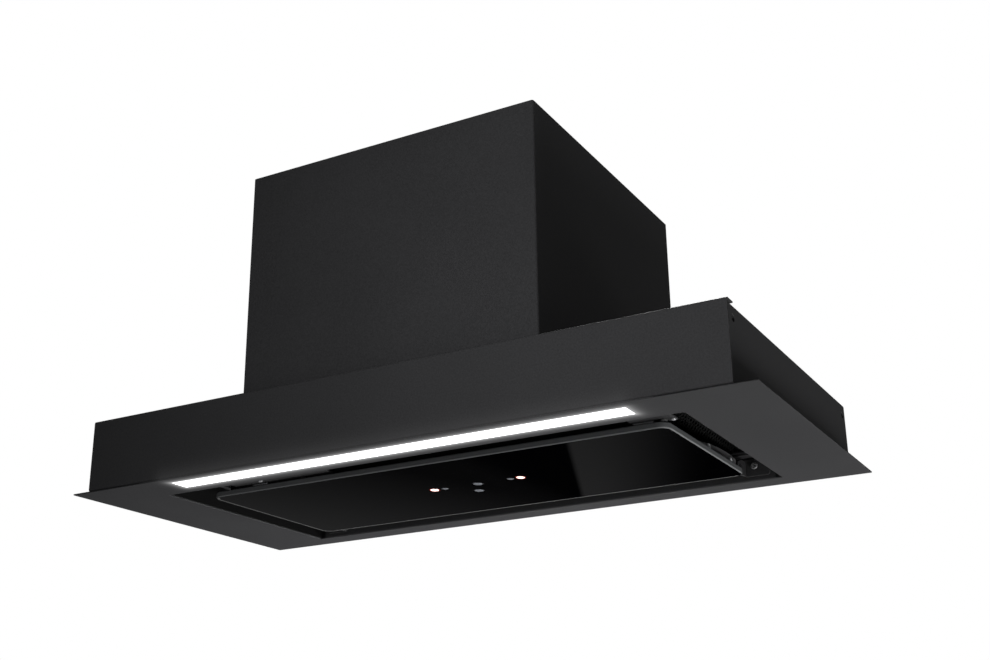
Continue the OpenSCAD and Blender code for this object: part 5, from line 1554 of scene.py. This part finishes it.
@dataclass
class Electronics:
    """Control box, driver, sensor board and the leads between them."""

    slot_pitch: float = 5.5
    slot_rows: tuple = (36, 58)
    slot_l: float = 16.0
    relays: tuple = (51.5, 71.5)
    rib_pitch: float = 4.0
    legs: int = 8
    leg_pitch: float = 1.15
    cord_r: float = 1.5
    wire_r: float = 1.25
    wire_twists: float = 9.0
    lamp_wire_r: float = 2.1
    wells: tuple = (6.0, 17.0, 28.0)
    chips: tuple = ((-12.0, 14.5), (22.0, 19.5), (40.0, 27.5))
    cable: tuple = ((-50.3, 20, 11.4), (-57, 20, 11.4), (-70, 29, 11), (-90, 46, 10), (-110, 66, 10.5),
                    (-116, 75, 14), (-118, 83.5, 17), (-119, 93, 17), (-120, 104, 15.5), (-120, 114, 14.5),
                    (-121, 121, 15.5), (-124, 126, 21), (-132, 126, 30), (-146, 125, 44),
                    (-150, 123.5, 58), (-154, 121, 69), (-164, 115, 74), (-172, 106, 73), (-174, 96, 71),
                    (-174, 87, 70))
    motor: tuple = ((-180, 70, 76), (-168, 70, 76), (-156, 70, 76), (-143, 70, 76), (-130, 70, 76),
                    (-116, 66, 82), (-108, 50, 104), (-100, 24, 132), (-92, 0, 152), (-84, -16, 160),
                    (-74, -22, 163), (-66, -22, 163))
    lamp: tuple = ((-204, -121, 8), (-212, -121, 8), (-224, -118, 12), (-234, -112, 24), (-236, -108, 40),
                   (-236, -108, 58), (-235, -104, 65), (-231, -94, 67), (-230, -82, 67), (-230, -70.5, 67))
    drive: tuple = (-28.5, 4.0)

    def build(self, shop: Workshop) -> None:
        """Makes the box, its board, the driver, the sensor board and the leads.

        Args:
            shop: Makes the pieces.
        """
        self.box(shop)
        self.board(shop)
        self.driver(shop)
        self.sensors(shop)
        self.leads(shop)

    def box(self, shop: Workshop) -> None:
        """Makes the control box's lid with vents and feet, and the gland with its nut.

        Args:
            shop: Makes the pieces.
        """
        x0, x1, y0, y1, z0, z1 = limits("control_lid")
        slots = [soft_rect(x, x + 2.2, y0 + near, y0 + near + self.slot_l, 1.0, 4)
                 for x in np.arange(x0 + 30, x1 - 30, self.slot_pitch) for near in self.slot_rows]
        top = plate(soft_rect(x0, x1, y0, y1, 2.0, 5), z0, z0 + 2.0, slots, 0.35)
        feet = [soft_box(x, x + 10, y0 + 30, y1 - 30, z0 + 1.8, z1, 0.5) for x in (x0 + 8, x1 - 18)]
        shop.piece("control_cover", joined([top] + feet), "control_lid")
        wall = limits("control_box")[3]
        g0, g1 = limits("cable_gland")[2:4]
        x, _, z = middles("cable_gland")
        body = lathe([(3.6, g0), (8, g0), (8, g0 + 5), (11, g0 + 5), (11, g0 + 8.4), (9.4, g0 + 9),
                      (9.4, g0 + 9.6)] + [(9.0 - 0.5 * (k % 2), g0 + 9.6 + 0.8 * k) for k in range(11)]
                     + [(8.2, g1 - 0.6), (6.5, g1), (3.6, g1)], 48, True)
        nut = lathe([(8.0, wall - 5), (11, wall - 5), (11, wall - 2), (8.0, wall - 2)], 6, True)
        gland = along(joined([body, nut]), "y", (x, 0, z))
        shop.piece("gland_body", gland, "cable_gland")

    def board(self, shop: Workshop) -> None:
        """Makes the control board's relays, and the terminal block with its screws.

        Args:
            shop: Makes the pieces.
        """
        x0, _, y0, _, z0, _ = limits("control_board")
        low = z0 + 4.6
        relays = [soft_box(x0 + a, x0 + a + 13, y0 + 14, y0 + 31, low, low + 15.3, 0.8) for a in self.relays]
        shop.piece("control_relays", joined(relays), body="hood", slot="plastic_black")
        x0, x1, y0, y1, z0, z1 = limits("terminal_block")
        y = (y0 + y1) / 2
        base = soft_box(x0, x1, y0, y1, z0, z0 + 5, 0.5)
        top = plate(soft_rect(x0, x1, y0, y1, 0.6, 3), z0 + 4.8, z1,
                    [circle(2.6, 20, x0 + at, y) for at in self.wells], 0.3)
        shop.piece("terminal_strip", joined([base, top]), "terminal_block")
        heads = [screw(3, 2.3, 1.2, 1.4).moved(x0 + at, y, z0 + 6.5) for at in self.wells]
        shop.piece("terminal_screws", joined(heads), body="hood", slot="bright_steel")

    def driver(self, shop: Workshop) -> None:
        """Makes the LED driver: a ribbed case on two feet.

        Args:
            shop: Makes the pieces.
        """
        x0, x1, y0, y1, z0, z1 = limits("lamp_driver")
        y = (y0 + y1) / 2
        case = soft_box(x0 + 4, x1 - 4, y0, y1, z0, z1 - 0.8, 1.6)
        foot = plate(soft_rect(x0, x1, y0 + 8, y1 - 8, 3.0, 5), z0, z0 + 2,
                     [circle(2.0, 16, x0 + 2.8, y - 6), circle(2.0, 16, x1 - 2.8, y + 6)], 0.3)
        ribs = [soft_box(x, x + 1.4, y0 + 5, y1 - 5, z1 - 1.4, z1, 0.35)
                for x in np.arange(x0 + 14, x1 - 14, self.rib_pitch)]
        shop.piece("driver_case", joined([case, foot] + ribs), "lamp_driver")

    def sensors(self, shop: Workshop) -> None:
        """Makes the sensor board: spacers, chips with legs, and the cable's socket.

        Args:
            shop: Makes the pieces.
        """
        x0, x1, y0, y1, z0, z1 = limits("sensor_board")
        level = z0 + 3.6
        spots = [(x, y) for x in (x0 + 6, x1 - 6) for y in (y0 + 5, y1 - 5)]
        sheet = plate(soft_rect(x0, x1, y0, y1, 1.5, 4), level - 1.6, level,
                      [circle(1.2, 12, *p) for p in spots], 0.15)
        post = lathe([(1.0, z0), (3, z0), (3, z0 + 2), (1.0, z0 + 2)], 18, True)
        shop.piece("sensor_circuit", joined([sheet] + [post.moved(*p) for p in spots]), "sensor_board")
        chips, legs = [], []
        for x, y in self.chips:
            chips.append(soft_box(x, x + 9, y + 0.8, y + 6.2, level + 0.1, level + 1.3, 0.3))
            steps = [x + self.leg_pitch * k for k in range(self.legs)]
            legs += [soft_box(s + 0.6, s + 1.0, y - 0.2, y + 7.2, level, level + 0.25, 0.05)
                     for s in steps]
        chips.append(soft_box(x0, x0 + 6, 16, 24, level, z1, 0.4))
        shop.piece("sensor_chips", joined(chips), body="panel", slot="plastic_black")
        shop.piece("sensor_legs", joined(legs), body="panel", slot="bright_steel")

    def leads(self, shop: Workshop) -> None:
        """Makes the wiring: each lead is a round section swept along the CAD's route.

        Args:
            shop: Makes the pieces.
        """
        cord = sweep(smooth_path(self.cable, 6), circle(self.cord_r, 12))
        made = shop.piece("sensor_lead", cord, "sensor_cable", body="")
        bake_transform(made)
        path = smooth_path(self.motor, 6)
        turn = np.linspace(0, 2 * math.pi * self.wire_twists, len(path))
        wires = [sweep(path + np.column_stack([0 * turn, polar(1.5, turn + k * 2 * math.pi / 3)]),
                       circle(self.wire_r, 10)) for k in range(3)]
        shop.piece("motor_wires", joined(wires), "motor_lead")
        drive = [(-230, y, 69) for y in np.linspace(*self.drive, 5)]
        lamps = [sweep(smooth_path(route, n), circle(self.lamp_wire_r, 12))
                 for route, n in ((self.lamp, 6), (drive, 4))]
        shop.piece("lamp_wires", joined(lamps), "lamp_lead")


@dataclass
class Fasteners:
    """Pan-head screws of the shell and of the hinges."""

    deck: tuple = (276.0, (-95.5, 10.0, 100.5), 59.0)
    feet: tuple = (140.0, (-96.5, 98.5), 58.8)
    front_feet: tuple = ((-100.0, 0.0, 100.0), -131.5)
    back: tuple = (129.0, 138.5, (89.0, 159.0, 229.0))
    lid: tuple = (129.0, (-66.5, 108.5), 258.4)
    front_lid: tuple = ((-95.0, 95.0), -120.5)
    collar: tuple = (81.0, 46.343, 260.4)
    rim: tuple = (209.0, 116.0, 12.6)
    arm: tuple = (199.5, (34.5, 83.5), 11.0)

    @staticmethod
    def rows(shape: Shape, x: float, ys: Sequence[float], z: float) -> list[Shape]:
        """Sets a screw at every y, left and right."""
        return [shape.moved(s * x, y, z) for s in (-1, 1) for y in ys]

    def build(self, shop: Workshop) -> None:
        """Makes every screw at its place.

        Args:
            shop: Makes the pieces.
        """
        shells = self.rows(screw(6), *self.deck)
        shells += [screw(6).moved(x, self.front_feet[1], self.feet[2]) for x in self.front_feet[0]]
        shells += self.rows(screw(6), *self.feet)
        x, y, heights = self.back
        shells += [along(screw(5), "y", (s * x, y, z)) for s in (-1, 1) for z in heights]
        shells += [screw(5).moved(x, self.front_lid[1], self.lid[2]) for x in self.front_lid[0]]
        shells += self.rows(screw(5), *self.lid)
        r, y, z = self.collar
        spread = r / math.sqrt(2)
        shells += self.rows(screw(7), spread, (y - spread, y + spread), z)
        shop.piece("body_screws", joined(shells), "shell_screws")
        x, y, z = self.rim
        rims = [along(screw(5), "-y", (s * x, y, z)) for s in (-1, 1)]
        shop.piece("rim_screws", joined(rims), None, "hinge_black", "hood", "bright_steel")
        x, ys, z = self.arm
        arms = both_sides(joined([along(screw(5), "x", (x, y, z)) for y in ys]))
        shop.piece("lever_screws", arms, "hinge_screws", "zinc_plate")


@dataclass
class Studio:
    """Camera, lights, floor and background.

    A band or side of the card is where it starts and ends, and its brightness at both.
    """

    eye: tuple = (551.0, -947.0, -269.3)
    azimuth: float = 28.84
    elevation: float = 20.27
    roll: float = -0.75
    focal_pixels: float = 1359.0
    frame_pixels: float = 990.0
    sensor: float = 36.0
    floor_z: float = -1600.0
    card_z: float = -840.0
    bounce: float = 0.41
    floor_white: float = 0.96
    ambient: float = 0.06
    mirrored: float = 0.08
    slant_left: float = 0.304
    slant_right: float = 0.403
    shift_right: float = 1.064
    band_left: tuple = (2.6, 3.5, 0.0065, 0.0475)
    side_left: tuple = (-1.62, -1.45, 1.0, 0.0)
    band_right: tuple = (-1.18, -0.7, 0.051, 0.0)
    edge_right: tuple = (-1.19, -1.17, 0.0, 1.0)
    lamps: tuple = (("lamp_front", (0.15, -0.64, 0.1), (0.47, 0, 0.1), 0.2, 3.6, False),
                    ("lamp_low_rear", (-0.15, 0.55, -0.4), (-0.1, 0, 0), 0.4, 10.5, False),
                    ("lamp_back_top", (-0.03, 1.3, 1.7), (0, 0, 0.15), 0.3, 75, True),
                    ("lamp_glint", (0.62, 1.06, -0.53), (0.2, 0.08, 0), 0.25, 2, True),
                    ("lamp_low_right", (0.8, -0.1, -0.8), (0.2, 0, 0), 0.4, 8.8, True))

    def camera(self) -> None:
        """Sets the camera from the solved view: its axes are right, up and backwards."""
        az, el, roll = (math.radians(a) for a in (self.azimuth, self.elevation, self.roll))
        ahead = Vector((-math.sin(az) * math.cos(el), math.cos(az) * math.cos(el), math.sin(el)))
        level = ahead.cross(Vector((0, 0, 1))).normalized()
        above = level.cross(ahead)
        right = level * math.cos(roll) + above * math.sin(roll)
        up = above * math.cos(roll) - level * math.sin(roll)
        data = bpy.data.cameras.new("camera")
        data.lens = self.focal_pixels / self.frame_pixels * self.sensor
        data.sensor_width = self.sensor
        data.clip_start, data.clip_end = 0.01, 50
        camera = bpy.data.objects.new("camera", data)
        turn = Matrix((right, up, -ahead)).transposed().to_4x4()
        camera.matrix_world = Matrix.Translation(Vector(self.eye) * MM) @ turn
        bpy.context.scene.collection.objects.link(camera)
        bpy.context.scene.camera = camera

    def world(self) -> None:
        """White to the camera and through glass, grey in reflections, and dim as ambient light."""
        world = bpy.data.worlds.new("studio")
        bpy.context.scene.world = world
        world.use_nodes = True
        tree = world.node_tree
        tree.nodes.clear()
        rays = add_node(tree, "LightPath")
        seen, through, glossy = (Value(tree, rays.outputs[f"Is {kind} Ray"])
                                 for kind in ("Camera", "Transmission", "Glossy"))
        dim = glossy.ramp(0.0, 1.0, self.ambient, self.mirrored)
        level = seen.math("MAXIMUM", through).math("MAXIMUM", dim)
        back = add_node(tree, "Background", {"Color": (1, 1, 1, 1), "Strength": level})
        add_node(tree, "OutputWorld", {0: back.outputs[0]})

    @staticmethod
    def sheet(name: str, material_name: str, size: float,
              z: float) -> tuple[bpy.types.Object, bpy.types.NodeTree]:
        """Lays a square sheet in the studio.

        Args:
            name: Name of the sheet.
            material_name: Name of its material.
            size: Half its side, in metres.
            z: Its height, in millimetres.

        Returns:
            The sheet, and the empty node tree of its material.
        """
        mesh = bpy.data.meshes.new(name)
        corners = ((-size, -size), (size, -size), (size, size), (-size, size))
        mesh.from_pydata([(x, y, z * MM) for x, y in corners], [], [(0, 1, 2, 3)])
        material = bpy.data.materials.new(material_name)
        material.use_nodes = True
        material.node_tree.nodes.clear()
        mesh.materials.append(material)
        made = bpy.data.objects.new(name, mesh)
        bpy.context.scene.collection.objects.link(made)
        return made, material.node_tree

    def floor(self) -> None:
        """White floor that throws light up at the underside, see-through from below."""
        _, tree = self.sheet("floor", "floor_white", 12.0, self.floor_z)
        camera = Value(tree, add_node(tree, "LightPath").outputs["Is Camera Ray"])
        diffuse = add_node(tree, "BsdfDiffuse", {"Color": (0.35, 0.35, 0.35, 1)})
        glow = add_node(tree, "Emission", {"Strength": camera.ramp(0.0, 1.0, self.bounce, self.floor_white)})
        both = add_node(tree, "AddShader", {0: diffuse.outputs[0], 1: glow.outputs[0]})
        clear = add_node(tree, "BsdfTransparent")
        under = add_node(tree, "NewGeometry").outputs["Backfacing"]
        sides = add_node(tree, "MixShader", {0: under, 1: both.outputs[0], 2: clear.outputs[0]})
        add_node(tree, "OutputMaterial", {0: sides.outputs[0]})

    def card(self) -> None:
        """Dark card under the hood that only reflections see, with two soft grey bands for the glass.

        The left band brightens away from its slanted edge, up to a soft side, and the right band
        fades out from a hard edge.
        """
        card, tree = self.sheet("reflection_card", "card_grey", 9.0, self.card_z)
        x, y, _ = place_values(tree)
        slant = y * self.slant_left - x
        left = slant.ramp(*self.band_left) * x.ramp(*self.side_left, "SMOOTHSTEP")
        across = y * self.slant_right - self.shift_right + x
        right = across.ramp(*self.band_right, "SMOOTHSTEP") * across.ramp(*self.edge_right)
        glow = add_node(tree, "Emission", {"Strength": left + right})
        add_node(tree, "OutputMaterial", {0: glow.outputs[0]})
        for kind in ("camera", "diffuse", "transmission", "volume_scatter", "shadow"):
            setattr(card, f"visible_{kind}", False)

    @staticmethod
    def lamp(name: str, place: Sequence[float], target: Sequence[float], size: float, watts: float,
             mirrored: bool) -> None:
        """Adds a soft square lamp.

        Args:
            name: Name of the lamp.
            place: Where it stands, in metres.
            target: What it points at, in metres.
            size: Its side, in metres.
            watts: Its power.
            mirrored: Whether reflections see it.
        """
        data = bpy.data.lights.new(name, "AREA")
        data.energy, data.size = watts, size
        lamp = bpy.data.objects.new(name, data)
        lamp.location = Vector(place)
        lamp.rotation_euler = (Vector(target) - Vector(place)).to_track_quat("-Z", "Y").to_euler()
        lamp.visible_camera, lamp.visible_glossy = False, mirrored
        bpy.context.scene.collection.objects.link(lamp)

    def build(self) -> None:
        """Sets the camera, the light and the background."""
        self.camera()
        self.world()
        self.floor()
        self.card()
        for lamp in self.lamps:
            self.lamp(*lamp)
        bpy.context.scene.view_settings.view_transform = "Standard"


def main() -> None:
    """Loads the frame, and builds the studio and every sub-assembly."""
    logging.basicConfig(level=logging.INFO, format="%(name)s: %(message)s")
    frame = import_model()
    Studio().build()
    shop = Workshop(frame)
    for part in (LightStrip(), GlassPanel(), Hinges(), GreaseFilters(), Blower(), DuctOutlet(),
                 Electronics(), Fasteners()):
        part.build(shop)


if __name__ == "__main__":
    main()
